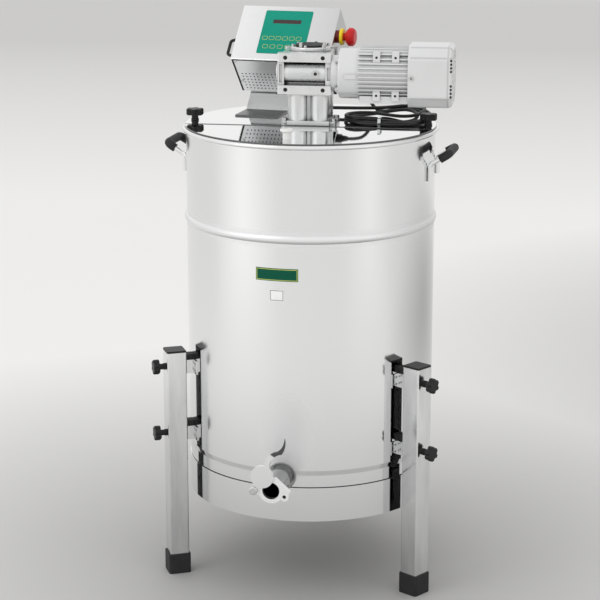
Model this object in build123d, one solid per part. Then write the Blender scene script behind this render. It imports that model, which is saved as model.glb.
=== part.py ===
from build123d import *
import os
from math import asin, atan2, cos, hypot, pi, radians, sin, sqrt, tan

# Honey creamer: a stainless tank on three square legs, a two-piece lid with the
# stirrer drive on top, a control box on a bent stand and a honey gate at the foot.
# Millimetres, +Z up, the front towards -Y. The origin is on the floor, under the
# stirrer shaft. The lid, drive and control box are square to X and Y; the tank with its
# gate, handles and legs is turned under them by TANK_TURN_ANGLE.

# Fits
RUNNING = 0.06          # radial clearance of a turning shaft in its hole
SEAT = 0.05             # radial clearance of a piece pushed into a bore
APART = 0.4             # gap between pieces that move past each other
HOLE = 0.5              # radial clearance of a stud or bolt in a plain hole

# Tank
TANK_DIAMETER = 500.0
TANK_SHEET = 1.2
TANK_TURN_ANGLE = -5.3        # degrees, of the gate, handles and legs, seen from above
RIM_HEIGHT = 922.0
RIM_BEAD = 4.5          # radius of the rolled rim
BEAD_OUT = 3.0          # its centre outside the wall
SWAGE_HEIGHT = 739.0    # stiffening swage round the wall
SWAGE_SPAN = 16.0
SWAGE_RISE = 4.0
SEAM_HEIGHT = 241.0     # bottom edge of the wall
JOGGLE = 2.0            # step in of the wall's foot
JOGGLE_FROM = 24.0      # above the wall's bottom edge
JOGGLE_TALL = 10.0
WALL_FLANGE = 16.0      # wall's inner flange under the floor
FLOOR_SHEET = 1.5
SEAM_STRIP = 1.5
SKIRT_BOTTOM = 170.0
SKIRT_HEM = 8.0

# Gate valve
GATE_BORE = 34.0
STUB_WALL = 3.0
STUB_STEP = 0.5         # stub's inner end bored wider than the gate, on the radius
STUB_RELIEF = 6.0       # where that starts, outside the wall
STUB_REACH = 40.0       # outlet stub beyond the wall
GATE_AXIS_HEIGHT = 22.0  # above the wall's bottom edge
GATE_WALL = 6.0
GATE_REACH = 48.0       # gate body beyond the stub's end
GATE_SOCKET = 12.0
GATE_FLANGE = 9.0
GATE_PIVOT = 33.0       # pivot bolt beside the outlet's axis
GATE_EAR = 9.0
GATE_DISC = 22.5        # radius of the flap
GATE_FLAP = 5.0
GATE_OPEN_ANGLE = 60.0        # degrees that the flap stands open at rest
PIVOT_BOLT = 4.0
LEVER_REACH = 125.0     # lever tip from the pivot

# Bow handles
HANDLE_ROD = 4.5
HANDLE_SPAN = 90.0
HANDLE_BELOW_RIM = 64.0
HANDLE_FOOT = 33.0
HANDLE_OUT = 36.0
HANDLE_RISE = 22.0
HANDLE_BEND = 12.0
GRIP_RADIUS = 8.5
GRIP_SIDE = 0.45        # share of each slanting arm under the grip

# Legs
LEG_TUBE = 40.0
LEG_WALL = 2.0
LEG_CORNER = 3.0
LEG_GAP = 17.0          # between the wall and the leg
LEG_HEIGHT = 477.0
LEG_ANGLES = {"right": 60.0, "left": -60.0, "rear": 180.0}
CAP_PLATE = 4.0
CAP_SPIGOT = 12.0
FOOT_HEIGHT = 42.0
FOOT_WALL = 3.0
FOOT_SOLE = 5.0
KNOB_BELOW_TOP = {"lower": 175.0, "upper": 35.0}
BRACKET_WIDE = 32.0
BRACKET_TALL = 28.0
PAD_WIDE = 62.0
PAD_SHEET = 2.0
BUFFER_WIDE = 20.0      # rubber buffer on each bracket
BUFFER_TALL = 10.0

# Hand knobs
STUD = 4.0
LEG_KNOB = {"head_radius": 15.0, "tall": 13.0, "neck_radius": 6.0, "rise": 12.0}
CLAMP_KNOB = {"head_radius": 17.5, "tall": 13.0, "neck_radius": 6.8, "rise": 10.0}
KNOB_LOBES = 6
KNOB_COLLAR = 3.0
KNOB_EDGE = 1.6

# Lid
LID_OVER = 2.0          # lid beyond the tank wall
LID_SHEET = 1.5
LID_HEM = 2.6
LID_LIFT = 0.4          # hem above the rim
JOINT_Y = -48.0         # hinge line across the lid
HINGE_PIN = 0.9
HINGE_BARREL = 1.8
HINGE_GAP = 0.6
HINGE_LENGTH = 440.0
HINGE_KNUCKLES = 11
LIFT_KNOB_AT = (-20.0, -197.0)
LIFT_KNOB_HEAD = 12.5
LIFT_KNOB_STEM = 7.5
LIFT_KNOB_TALL = 20.0
LIFT_KNOB_CAP = 6.0
BAR_WIDE = 80.0
BAR_TALL = 25.0
BAR_WALL = 2.5
BAR_END = 3.0           # gap between the crossbar's corners and the wall
CLAMP_IN = 13.0         # clamp stud from the tank wall
BAR_SEAT = 8.0
BAR_SEAT_DEEP = 30.0
BAR_SEAT_WIDE = 60.0

# Tower and gearbox
TOWER_HEIGHT = 67.0
PILLAR = 20.0
PILLAR_X = 22.0
PILLAR_Y = 24.5
TOWER_FLANGE = 10.0
EAR_REACH = 55.0
EAR_HALF = 35.0
BOLT_X = 49.0
BOLT_Y = 24.0
BOLT = 3.2
GEAR_LEFT = -57.0
GEAR_RIGHT = 50.0
GEAR_HEIGHT = 80.0
GEAR_BACK = 48.0
GEAR_FRONT = -71.0
GEAR_INSET = 6.0
FRAME_BAR = 17.0
FRAME_DEEP = 22.0
FRAME_HOLE = 4.2
FRAME_HOLE_X = (-41.0, 33.0)
FRAME_HOLE_IN = 8.5
FRAME_POST = 12.5       # upright at each end of the frame
POCKET_IN = 3.0         # pocket in the front of each upright
POCKET_DEEP = 9.0
POCKET_HALF = {-1: 18.0, 1: 13.0}
CASE_ROUND = 14.0
WEB_IN = 22.0
WORM_OFFSET = 45.0
WORM_BARREL = 20.0
WORM = 11.0
WORM_HALF = 24.0
WORM_GROOVES = 6
WORM_JOURNAL = 7.0
WHEEL_FACE = 24.0
WHEEL_TEETH = 30
TOOTH = 4.0
CASE_ROOM = 2.5
SHAFT = 10.0
OUT_BEARING = 20.0
WORM_BEARING = 15.0
BEARING_FACE = 9.0
SHOULDER = 2.0
COVER = 40.0
COVER_TALL = 7.0
COVER_SCREW = 3.2
COVER_STUD = 3.6
COVER_STUD_TALL = 10.0
OIL_PLUG = 6.5
CAP = 31.0
CAP_TALL = 3.5

# Motor, its axis along X on the worm's axis
FLANGE_NECK_RADIUS = 35.0
FLANGE_NECK_LONG = 14.0
FLANGE_DISC = 49.0
FLANGE_LONG = 51.0
FLANGE_BOLT = 5.0
FLANGE_BOLT_OUT = 5.5   # bolts outside the neck
LUG_LONG = 23.0         # clamping lugs on the bell's sides
LUG_OUT = 2.5
LUG_TALL = 9.0
FRAME_LONG = 106.0
FRAME_CORE = 50.0
FRAME_BORE = 46.0
FIN_RADIUS = 54.5
FIN = 2.6
FIN_PITCH = 8.5
END_WALL = 5.0
STATOR_LONG = 80.0
STATOR_IN = 11.0
ROTOR = 28.5
AIR_GAP = 0.6
ROTOR_SHAFT = 7.0
FAN_RADIUS = 48.0
FAN_AT = 24.0
FAN_WIDE = 18.0
FAN_BLADES = 8
FAN_COVER = 59.5        # half the width of the square cover
FAN_COVER_CHAMFER = 21.5
FAN_COVER_EDGE = 10.0
COVER_FIX = 3.8         # screw on each side of the cover
COVER_FIX_HEAD = 2.6
COVER_FIX_IN = 7.0
FAN_COVER_SHEET = 2.0
FAN_COVER_LONG = 86.0
FAN_COVER_ROUND = 9.5
VENT_HOLE = 3.4
VENT_RINGS = {16.0: 8, 27.0: 14, 38.0: 20, 49.0: 26}
PAD_X = (140.0, 177.0)
PAD_RISE = 37.0
MOTOR_PAD = (14.0, 11.0, 20.0)
RAIL_TALL = 14.0
RAIL_DEEP = 12.0
RAIL_RISE = 46.0
BOX_LONG = 64.0
BOX_DEEP = 34.0
BOX_TALL = 52.0
BOX_WALL = 2.5
BOX_FROM_END = 16.0
BOX_SEAT = 2.0          # seat of the box above the fins
PAD_HOLE = 2.5

# Stirrer
FOOT_BUSH = 20.0
FOOT_BUSH_TALL = 22.0
BLADE_REACH = 225.0
BLADE_WIDE = 44.0
BLADE_SHEET = 4.0
BLADE_TILT_ANGLE = 38.0
BLADE_HEIGHTS = (292.0, 462.0, 632.0)
BLADE_STEP_ANGLE = 60.0
BLADE_REST_ANGLE = 35.0
HUB = 18.0
HUB_TALL = 44.0

# Control box, drawn flat with its panel up, then tilted and turned into place
BOX_CORNER = (-179.5, 92.0)
BOX_CORNER_UP = 112.8   # front lower corner above the lid
BOX_TURN_ANGLE = -8.1
BOX_TILT_ANGLE = 45.3
CONSOLE_WIDE = 208.0
CONSOLE_LONG = 140.0
CONSOLE_DEEP = 110.0
CONSOLE_SHEET = 1.5
CONSOLE_ROUND = 2.5
VENT_LIP = 12.0
VENT_SIDE = 16.0
VENT_COLUMN = 7.9
VENT_ROW = 9.7
VENT_BORE = 1.7
VENT_FROM = 47.0
VENT_ROWS = 6
VENT_SCREW = 3.0
VENT_SCREW_HEAD = 1.6
VENT_SCREW_DEEP = (5.5, 71.0)
MEMBRANE = (52.0, 17.0, 101.0, 110.5)
MEMBRANE_SHEET = 0.6
DISPLAY = (72.0, 94.0, 60.0, 10.0)
DISPLAY_GAP = 0.2
BOARD_BELOW = 26.0
BOARD_SHEET = 2.0
BOARD_EDGE = 12.0
STANDOFF = 3.0
STAND_FROM = 20.0
STAND_WIDE = 89.0
STAND_SHEET = 3.0
STAND_FOOT = 76.0
STAND_BEHIND = 70.0
STOP_UP = 79.0
STOP_IN = 17.0
STOP_BARREL = 11.0
STOP_BASE = 13.0
STOP_BASE_LONG = 9.0
STOP_COLLAR = 17.0
STOP_COLLAR_LONG = 6.0
STOP_STEM = 8.0
STOP_TRAVEL = 6.0
STOP_HEAD = 19.0
STOP_HEAD_LONG = 18.0
PULL_FROM = 18.0
PULL_TO = 62.0
PULL_OUT = 14.0
PULL_IN = 16.0
PULL_ROD = 3.2

# Leads
LEAD = 3.5              # radius of the mains lead
MOTOR_LEAD = 3.5
GLAND_NUT = 9.0
GLAND_LONG = 22.0
GLAND_RUN = 22.5        # straight run of a lead out of its gland
MAINS_GLAND_AT = (12.0, 95.0)
MOTOR_GLAND_AT = (50.0, 75.0)
HANK_LIFT = 1.0         # hank above the lid, on its tie
LAYER_GAP = 0.8
HANK_LEFT = (66.0, 74.0)      # outermost reach of each loop
HANK_RIGHT = (232.0, 224.0, 216.0)
HANK_FRONT = (-24.0, -16.0, -8.0)
HANK_BACK = (118.0, 110.0, 102.0)
EIGHT_LEFT = 36.0       # turns of the figure of eight on top of the loops
EIGHT_LEFT_X = 104.0
EIGHT_RIGHT = 38.0
EIGHT_RIGHT_AT = (180.0, 62.0)
TAIL_FROM = 172.0
TAIL_TO = 34.0
TAIL_Y = 118.0
TIE_X = 140.0
TIE_BAND = 0.8
TIE_WIDE = 6.0
PLUG_LONG = 42.0
PLUG_WIDE = 32.0
PLUG_TALL = 21.0
PLUG_NECK = 12.0
PIN = 2.4
PIN_LONG = 19.0
PIN_SPACE = 19.0

# Worked-out levels and radii
TANK_R = TANK_DIAMETER / 2
TANK_IN = TANK_R - TANK_SHEET
FOOT_R = TANK_R - JOGGLE
FLOOR_TOP = SEAM_HEIGHT + TANK_SHEET + FLOOR_SHEET
LID_RADIUS = TANK_R + LID_OVER
LID_BOTTOM = RIM_HEIGHT + LID_LIFT
LID_TOP = LID_BOTTOM + LID_HEM
LID_UNDER = LID_TOP - LID_SHEET
BAR_BOTTOM = LID_UNDER - BAR_TALL
BAR_HALF = sqrt(TANK_IN ** 2 - (BAR_WIDE / 2) ** 2) - BAR_END
CLAMP_X = TANK_IN - CLAMP_IN
GEAR_BOTTOM = LID_TOP + TOWER_HEIGHT
GEAR_TOP = GEAR_BOTTOM + GEAR_HEIGHT
DRIVE_Z = GEAR_BOTTOM + GEAR_HEIGHT / 2
WORM_Y = -WORM_OFFSET
WHEEL = WORM_OFFSET - WORM - APART
GATE_Z = SEAM_HEIGHT + GATE_AXIS_HEIGHT
STUB_R = GATE_BORE / 2 + STUB_WALL
STUB_END = -(TANK_R + STUB_REACH)
GATE_FACE = STUB_END - GATE_REACH
GATE_R = GATE_BORE / 2 + GATE_WALL
LEG_IN = TANK_R + LEG_GAP
LEG_R = LEG_IN + LEG_TUBE / 2
LEG_OUT = LEG_IN + LEG_TUBE
KNOB_HEIGHTS = {level: LEG_HEIGHT - below for level, below in KNOB_BELOW_TOP.items()}
FLANGE_END = GEAR_RIGHT + FLANGE_LONG
FRAME_END = FLANGE_END + FRAME_LONG
COVER_END = FRAME_END - END_WALL + FAN_COVER_LONG
HANK_Z = LID_TOP + HANK_LIFT + LEAD
HANK_Z_TOP = HANK_Z + 2 * LEAD + LAYER_GAP
UP = (Align.CENTER, Align.CENTER, Align.MIN)

# Points of the leads between their glands; heights are above the lid
MAINS_ROUTE = [(99.6, 126.1, 42.8), (111.8, 120.6, 16.7), (131.0, 118.0, 4.5), (154.0, 118.0, 4.5)]
MOTOR_ROUTE = [(140.0, 68.0, 97.0), (140.0, 94.0, 97.0), (130.5, 121.0, 88.5), (107.0, 138.0, 86.0)]


def post(radius, bottom, top, x=0.0, y=0.0):
    return Pos(x, y, bottom) * Cylinder(radius, top - bottom, align=UP)


def rod_x(radius, left, right, y=0.0, z=0.0):
    return Pos(left, y, z) * Rot(0, 90, 0) * Cylinder(radius, right - left, align=UP)


def rod_y(radius, front, back, x=0.0, z=0.0):
    return Pos(x, front, z) * Rot(-90, 0, 0) * Cylinder(radius, back - front, align=UP)


def block(x, y, z):
    """A box from three (low, high) pairs."""
    size = [high - low for low, high in (x, y, z)]
    middle = [(low + high) / 2 for low, high in (x, y, z)]
    return Pos(*middle) * Box(*size)


def bush(outer, inner, bottom, top, x=0.0, y=0.0):
    return post(outer, bottom, top, x, y) - post(inner, bottom, top, x, y)


def bush_x(outer, inner, left, right, y=WORM_Y, z=DRIVE_Z):
    return rod_x(outer, left, right, y, z) - rod_x(inner, left, right, y, z)


def turned(shape, angle):
    return Rot(0, 0, angle) * shape


def on_tank(shape, angle=0.0):
    """Turn a piece drawn at the front to its place round the tank."""
    return turned(shape, TANK_TURN_ANGLE + angle)


def spun(section):
    """Revolve a section drawn in radius and height."""
    return revolve(Plane.XZ * section, Axis.Z)


def hexagon(size, bottom, tall, x=0.0, y=0.0):
    return Pos(x, y, bottom) * extrude(RegularPolygon(size, 6), tall)


def tube_along(path, radius, bore=0.0):
    profile = Circle(radius)
    if bore:
        profile -= Circle(bore)
    return sweep(Plane(origin=path @ 0, z_dir=path % 0) * profile, path=path)


def lead_path(points):
    """Straight runs and the largest arcs that they allow; prints the arc radii."""
    points = [Vector(p) for p in points]
    radii = []
    for before, here, after in zip(points, points[1:], points[2:]):
        a, b = here - before, after - here
        run = min(a.length, b.length)
        radii.append(0.45 * run / tan(radians(a.get_angle(b)) / 2))
    print("lead arcs", [round(r, 1) for r in radii])
    return FilletPolyline(*points, radius=radii)


def checked_tube(name, path, radius):
    tube = tube_along(path, radius)
    area = Circle(radius).area
    print(name, "length", round(path.length, 1), "volume share", round(tube.volume / area / path.length, 4))
    return tube


# Tank

def tank_wall():
    foot, inside = FOOT_R, FOOT_R - TANK_SHEET
    low, high = SEAM_HEIGHT + JOGGLE_FROM, SEAM_HEIGHT + JOGGLE_FROM + JOGGLE_TALL
    top = RIM_HEIGHT - RIM_BEAD
    swage_low, swage_high = SWAGE_HEIGHT - SWAGE_SPAN / 2, SWAGE_HEIGHT + SWAGE_SPAN / 2
    lip = foot - WALL_FLANGE
    outer = Polyline(
        (lip, SEAM_HEIGHT), (foot, SEAM_HEIGHT), (foot, low), (TANK_R, high), (TANK_R, swage_low),
    )
    bulge = ThreePointArc((TANK_R, swage_low), (TANK_R + SWAGE_RISE, SWAGE_HEIGHT), (TANK_R, swage_high))
    rim = Polyline((TANK_R, swage_high), (TANK_R, top), (TANK_IN, top), (TANK_IN, swage_high))
    hollow = ThreePointArc((TANK_IN, swage_high), (TANK_IN + SWAGE_RISE, SWAGE_HEIGHT), (TANK_IN, swage_low))
    inner = Polyline(
        (TANK_IN, swage_low), (TANK_IN, high), (inside, low),
        (inside, SEAM_HEIGHT + TANK_SHEET), (lip, SEAM_HEIGHT + TANK_SHEET), (lip, SEAM_HEIGHT),
    )
    section = make_face(outer + bulge + rim + hollow + inner)
    hole = rod_y(STUB_R + SEAT, -TANK_DIAMETER, 0, z=GATE_Z)
    return on_tank(spun(section) - hole)


def rim_hoop():
    """The rolled rim, which sits over the wall's upper edge."""
    top = RIM_HEIGHT - RIM_BEAD
    roll = Pos(TANK_R + BEAD_OUT, top) * Circle(RIM_BEAD)
    seat = Pos(TANK_R + SEAT, top + SEAT) * Rectangle(TANK_R, TANK_R, align=(Align.MAX, Align.MAX))
    return spun(roll - seat)


def tank_floor():
    return post(FOOT_R - TANK_SHEET - SEAT, SEAM_HEIGHT + TANK_SHEET, FLOOR_TOP)


def seam_seal():
    return bush(FOOT_R, FOOT_R - WALL_FLANGE, SEAM_HEIGHT - SEAM_STRIP, SEAM_HEIGHT)


def base_skirt():
    top = SEAM_HEIGHT - SEAM_STRIP
    shell = bush(TANK_R, TANK_IN, SKIRT_BOTTOM, top)
    ledge = bush(TANK_R, FOOT_R - WALL_FLANGE, top - TANK_SHEET, top)
    hem = bush(TANK_R, TANK_R - SKIRT_HEM, SKIRT_BOTTOM, SKIRT_BOTTOM + TANK_SHEET)
    return shell + ledge + hem


# Gate valve

def outlet_stub():
    collar = rod_y(STUB_R + 2 * STUB_WALL, -(TANK_R + STUB_WALL), -TANK_R * 0.9, z=GATE_Z)
    stub = rod_y(STUB_R, STUB_END, -(FOOT_R - TANK_SHEET), z=GATE_Z)
    stub += collar - post(TANK_R, 0, RIM_HEIGHT)
    stub -= rod_y(GATE_BORE / 2, STUB_END, 0, z=GATE_Z)
    return on_tank(stub - rod_y(GATE_BORE / 2 + STUB_STEP, -(TANK_R + STUB_RELIEF), 0, z=GATE_Z))


def in_gate_plane(sketch, thick, front):
    """Extrude a sketch of the gate's front view backwards from its front face."""
    plane = Plane(origin=(0, front + thick, GATE_Z), x_dir=(1, 0, 0), z_dir=(0, -1, 0))
    return extrude(plane * sketch, thick)


def gate_body():
    barrel = rod_y(GATE_R, GATE_FACE, STUB_END + GATE_SOCKET, z=GATE_Z)
    ear = Pos(-GATE_PIVOT, 0) * Circle(GATE_EAR)
    ear_arm = Pos(-GATE_PIVOT / 2, 0) * Rectangle(GATE_PIVOT, 2 * GATE_EAR)
    catch_at = (GATE_R + GATE_EAR * 0.4, -GATE_R * 0.45)
    catch = Pos(*catch_at) * Circle(GATE_EAR)
    bar = Pos(GATE_R * 0.87, GATE_R * 0.44) * Rot(0, 0, -42) * Rectangle(GATE_R * 1.75, GATE_EAR)
    face = Circle(GATE_R + 2) + ear + ear_arm + catch + bar
    body = barrel + in_gate_plane(face, GATE_FLANGE, GATE_FACE)
    body -= rod_y(GATE_BORE / 2, GATE_FACE, 0, z=GATE_Z)
    body -= rod_y(STUB_R + SEAT, STUB_END, STUB_END + GATE_SOCKET, z=GATE_Z)
    body -= rod_y(PIVOT_BOLT + SEAT, GATE_FACE, GATE_FACE + GATE_FLANGE, -GATE_PIVOT, GATE_Z)
    body -= rod_y(GATE_EAR * 0.4, GATE_FACE, GATE_FACE + GATE_FLANGE, catch_at[0], GATE_Z + catch_at[1])
    return on_tank(body)


def gate_flap():
    """Disc, arm and sickle lever in one plate, drawn shut with the pivot at the origin."""
    edge = GATE_PIVOT + GATE_DISC
    span = LEVER_REACH - edge
    root, waist, tip = edge - 4, edge + 0.56 * span, LEVER_REACH
    upper = ThreePointArc((root, 4), (edge + 0.22 * span, 11), (waist, 0))
    upper += ThreePointArc((waist, 0), (edge + 0.8 * span, -3), (tip, 1))
    lower = ThreePointArc((tip, 1), (edge + 0.8 * span, -8), (waist, -10))
    lower += ThreePointArc((waist, -10), (edge + 0.22 * span, 1), (root, -9))
    lever = make_face(upper + lower + Line((root, -9), (root, 4)))
    plate = Circle(GATE_EAR) + Pos(GATE_PIVOT, 0) * Circle(GATE_DISC)
    plate += Pos(GATE_PIVOT / 2, 0) * Rectangle(GATE_PIVOT, 2 * GATE_EAR - 2)
    plate += lever
    plate -= Circle(PIVOT_BOLT + RUNNING)
    sketch = Pos(-GATE_PIVOT, 0) * Rot(0, 0, GATE_OPEN_ANGLE) * plate
    return on_tank(in_gate_plane(sketch, GATE_FLAP, GATE_FACE - APART - GATE_FLAP))


def gate_pivot():
    front = GATE_FACE - 2 * APART - GATE_FLAP
    back = GATE_FACE + GATE_FLANGE
    shank = rod_y(PIVOT_BOLT, front, back, -GATE_PIVOT, GATE_Z)
    head = rod_y(2 * PIVOT_BOLT, front - PIVOT_BOLT, front, -GATE_PIVOT, GATE_Z)
    head = fillet(head.edges().group_by(Axis.Y)[0], PIVOT_BOLT / 2)
    nut_plane = Plane(origin=(-GATE_PIVOT, back, GATE_Z), z_dir=(0, 1, 0))
    nut = extrude(nut_plane * RegularPolygon(1.8 * PIVOT_BOLT, 6), 1.5 * PIVOT_BOLT)
    return on_tank(shank + head + nut)


# Bow handles, drawn at the front

def handle_points():
    near = -sqrt((TANK_R + HANDLE_ROD) ** 2 - (HANDLE_SPAN / 2) ** 2)
    far = near - HANDLE_OUT
    bend = RIM_HEIGHT - HANDLE_BELOW_RIM
    side = HANDLE_SPAN / 2
    arm = [(near, bend - HANDLE_FOOT), (near, bend), (far, bend + HANDLE_RISE)]
    left = [Vector(-side, y, z) for y, z in arm]
    right = [Vector(side, y, z) for y, z in reversed(arm)]
    return left + right


def handle_bow(angle):
    path = FilletPolyline(*handle_points(), radius=HANDLE_BEND)
    return on_tank(tube_along(path, HANDLE_ROD), angle)


def handle_grip(angle):
    points = handle_points()
    start = points[2] + (points[1] - points[2]) * GRIP_SIDE
    end = points[3] + (points[4] - points[3]) * GRIP_SIDE
    path = FilletPolyline(start, points[2], points[3], end, radius=HANDLE_BEND)
    return on_tank(tube_along(path, GRIP_RADIUS, HANDLE_ROD + SEAT), angle)


# Legs and hand knobs, drawn at the front with the leg's outer face towards -Y

def leg_tube(angle):
    outer = RectangleRounded(LEG_TUBE, LEG_TUBE, LEG_CORNER)
    inner = RectangleRounded(LEG_TUBE - 2 * LEG_WALL, LEG_TUBE - 2 * LEG_WALL, LEG_CORNER - LEG_WALL)
    tall = LEG_HEIGHT - CAP_PLATE - FOOT_SOLE
    tube = Pos(0, -LEG_R, FOOT_SOLE) * extrude(outer - inner, tall)
    for height in KNOB_HEIGHTS.values():
        tube -= rod_y(STUD + HOLE, -LEG_OUT, -LEG_IN, z=height)
    return on_tank(tube, angle)


def leg_cap(angle):
    plate = RectangleRounded(LEG_TUBE, LEG_TUBE, LEG_CORNER)
    inner = LEG_TUBE - 2 * LEG_WALL - 2 * SEAT
    spigot = RectangleRounded(inner, inner, LEG_CORNER - LEG_WALL)
    top = LEG_HEIGHT - CAP_PLATE
    lid = Pos(0, -LEG_R, top) * extrude(plate, CAP_PLATE)
    lid = chamfer(lid.edges().group_by(Axis.Z)[-1], CAP_PLATE / 4)
    return on_tank(lid + Pos(0, -LEG_R, top - CAP_SPIGOT) * extrude(spigot, CAP_SPIGOT), angle)


def rubber_foot(angle):
    size = LEG_TUBE + 2 * FOOT_WALL
    shoe = Pos(0, -LEG_R, 0) * extrude(RectangleRounded(size, size, LEG_CORNER + FOOT_WALL), FOOT_HEIGHT)
    shoe = chamfer(shoe.edges().group_by(Axis.Z)[-1], FOOT_WALL / 3)
    pocket = RectangleRounded(LEG_TUBE + 2 * SEAT, LEG_TUBE + 2 * SEAT, LEG_CORNER)
    return on_tank(shoe - Pos(0, -LEG_R, FOOT_SOLE) * extrude(pocket, FOOT_HEIGHT), angle)


def leg_bracket(angle, height):
    tall, wide = BRACKET_TALL / 2, BRACKET_WIDE / 2
    hat = block((-wide, wide), (-LEG_IN, -TANK_R * 0.9), (height - tall, height + tall))
    pad = bush(TANK_R + PAD_SHEET, TANK_R, height - tall, height + tall)
    pad &= block((-PAD_WIDE / 2, PAD_WIDE / 2), (-TANK_DIAMETER, 0), (0, RIM_HEIGHT))
    bracket = hat - post(TANK_R, 0, RIM_HEIGHT) + pad
    bracket -= rod_y(STUD + RUNNING, -LEG_IN, -TANK_R, z=height)
    return on_tank(bracket, angle)


def leg_buffer(angle, height):
    low = height + BRACKET_TALL / 2
    half = BUFFER_WIDE / 2
    buffer = block((-half, half), (-LEG_IN, -TANK_R * 0.9), (low, low + BUFFER_TALL))
    return on_tank(buffer - post(TANK_R + APART, 0, RIM_HEIGHT), angle)


def hand_knob(head_radius, tall, neck_radius, rise, stud_long):
    """A lobed knob on its stud; its bearing face is at the origin and it points up."""
    notch = head_radius * 0.34
    outline = Circle(head_radius) - PolarLocations(head_radius * 1.13, KNOB_LOBES) * Circle(notch)
    cap = Pos(0, 0, rise) * extrude(outline, tall)
    cap = chamfer(cap.edges().group_by(Axis.Z)[-1], KNOB_EDGE)
    cap = chamfer(cap.edges().group_by(Axis.Z)[0], KNOB_EDGE)
    collar = Cylinder(neck_radius * 1.15, KNOB_COLLAR, align=UP)
    stem = Cylinder(neck_radius, rise, align=UP)
    return cap + collar + stem + post(STUD, -stud_long, 0)


def leg_knob(angle, height):
    knob = hand_knob(**LEG_KNOB, stud_long=LEG_TUBE + LEG_GAP - PAD_SHEET)
    return on_tank(Pos(0, -LEG_OUT - APART, height) * Rot(90, 0, 0) * knob, angle)


def clamp_knob(side):
    knob = hand_knob(**CLAMP_KNOB, stud_long=LID_SHEET + BAR_TALL + BAR_SEAT)
    return Pos(side * CLAMP_X, 0, LID_TOP + APART) * knob


# Lid

def bar_seat(side):
    deep = (side * (TANK_IN - BAR_SEAT_DEEP), side * TANK_R)
    low = BAR_BOTTOM - BAR_SEAT
    seat = block(sorted(deep), (-BAR_SEAT_WIDE / 2, BAR_SEAT_WIDE / 2), (low, BAR_BOTTOM))
    seat &= post(TANK_IN, low, BAR_BOTTOM)
    return seat - post(STUD + RUNNING, low, BAR_BOTTOM, side * CLAMP_X)


def crossbar():
    outer = block((-BAR_HALF, BAR_HALF), (-BAR_WIDE / 2, BAR_WIDE / 2), (BAR_BOTTOM, LID_UNDER))
    inner = block(
        (-BAR_HALF, BAR_HALF), (BAR_WALL - BAR_WIDE / 2, BAR_WIDE / 2 - BAR_WALL),
        (BAR_BOTTOM + BAR_WALL, LID_UNDER - BAR_WALL),
    )
    bar = outer - inner - post(SHAFT + 2, BAR_BOTTOM, LID_UNDER)
    for side in (-1, 1):
        bar -= post(STUD + HOLE, BAR_BOTTOM, LID_UNDER, side * CLAMP_X)
    return bar


def lid_half(side):
    """The hemmed sheet on one side of the hinge line: -1 in front, 1 behind."""
    edge = JOINT_Y + side * (HINGE_BARREL + HINGE_GAP)
    keep = block((-LID_RADIUS, LID_RADIUS), sorted((edge, side * LID_RADIUS)), (LID_BOTTOM, LID_TOP))
    sheet = post(LID_RADIUS, LID_UNDER, LID_TOP)
    hem = bush(LID_RADIUS, LID_RADIUS - LID_HEM, LID_BOTTOM, LID_TOP)
    return (sheet + hem) & keep


def knuckles(side):
    """Every other knuckle of the piano hinge, each on a tab of its own half."""
    axis_z = LID_TOP - LID_SHEET / 2
    pitch = HINGE_LENGTH / HINGE_KNUCKLES
    edge = JOINT_Y + side * (HINGE_BARREL + HINGE_GAP)
    first = 0 if side > 0 else 1
    barrels = []
    for k in range(first, HINGE_KNUCKLES, 2):
        left = -HINGE_LENGTH / 2 + k * pitch + HINGE_GAP / 2
        right = left + pitch - HINGE_GAP
        tab = block((left, right), sorted((JOINT_Y, edge + side)), (LID_UNDER, LID_TOP))
        barrels.append(rod_x(HINGE_BARREL, left, right, JOINT_Y, axis_z) + tab)
    bore = rod_x(HINGE_PIN + RUNNING, -HINGE_LENGTH, HINGE_LENGTH, JOINT_Y, axis_z)
    return barrels, bore


def front_lid():
    barrels, bore = knuckles(-1)
    return lid_half(-1) + barrels - bore - post(LIFT_KNOB_STEM / 2 + SEAT, 0, LID_TOP, *LIFT_KNOB_AT)


def rear_cover():
    barrels, bore = knuckles(1)
    cover = lid_half(1) + barrels - bore - post(SHAFT + 2, 0, LID_TOP)
    for side in (-1, 1):
        cover -= post(STUD + HOLE, 0, LID_TOP, side * CLAMP_X)
    return cover


def hinge_pin():
    half = HINGE_LENGTH / 2
    return rod_x(HINGE_PIN, -half, half, JOINT_Y, LID_TOP - LID_SHEET / 2)


def lift_knob():
    at = LIFT_KNOB_AT
    top = LID_TOP + LIFT_KNOB_TALL
    head = post(LIFT_KNOB_HEAD, top - LIFT_KNOB_CAP, top, *at)
    head = fillet(head.edges(), LIFT_KNOB_CAP * 0.4)
    stem = post(LIFT_KNOB_STEM, LID_TOP, top - LIFT_KNOB_CAP / 2, *at)
    spigot = post(LIFT_KNOB_STEM / 2, LID_UNDER - 2, LID_TOP, *at)
    nut = post(LIFT_KNOB_STEM, LID_UNDER - 5, LID_UNDER, *at)
    return head + stem + spigot + nut


# Tower and gearbox

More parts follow.
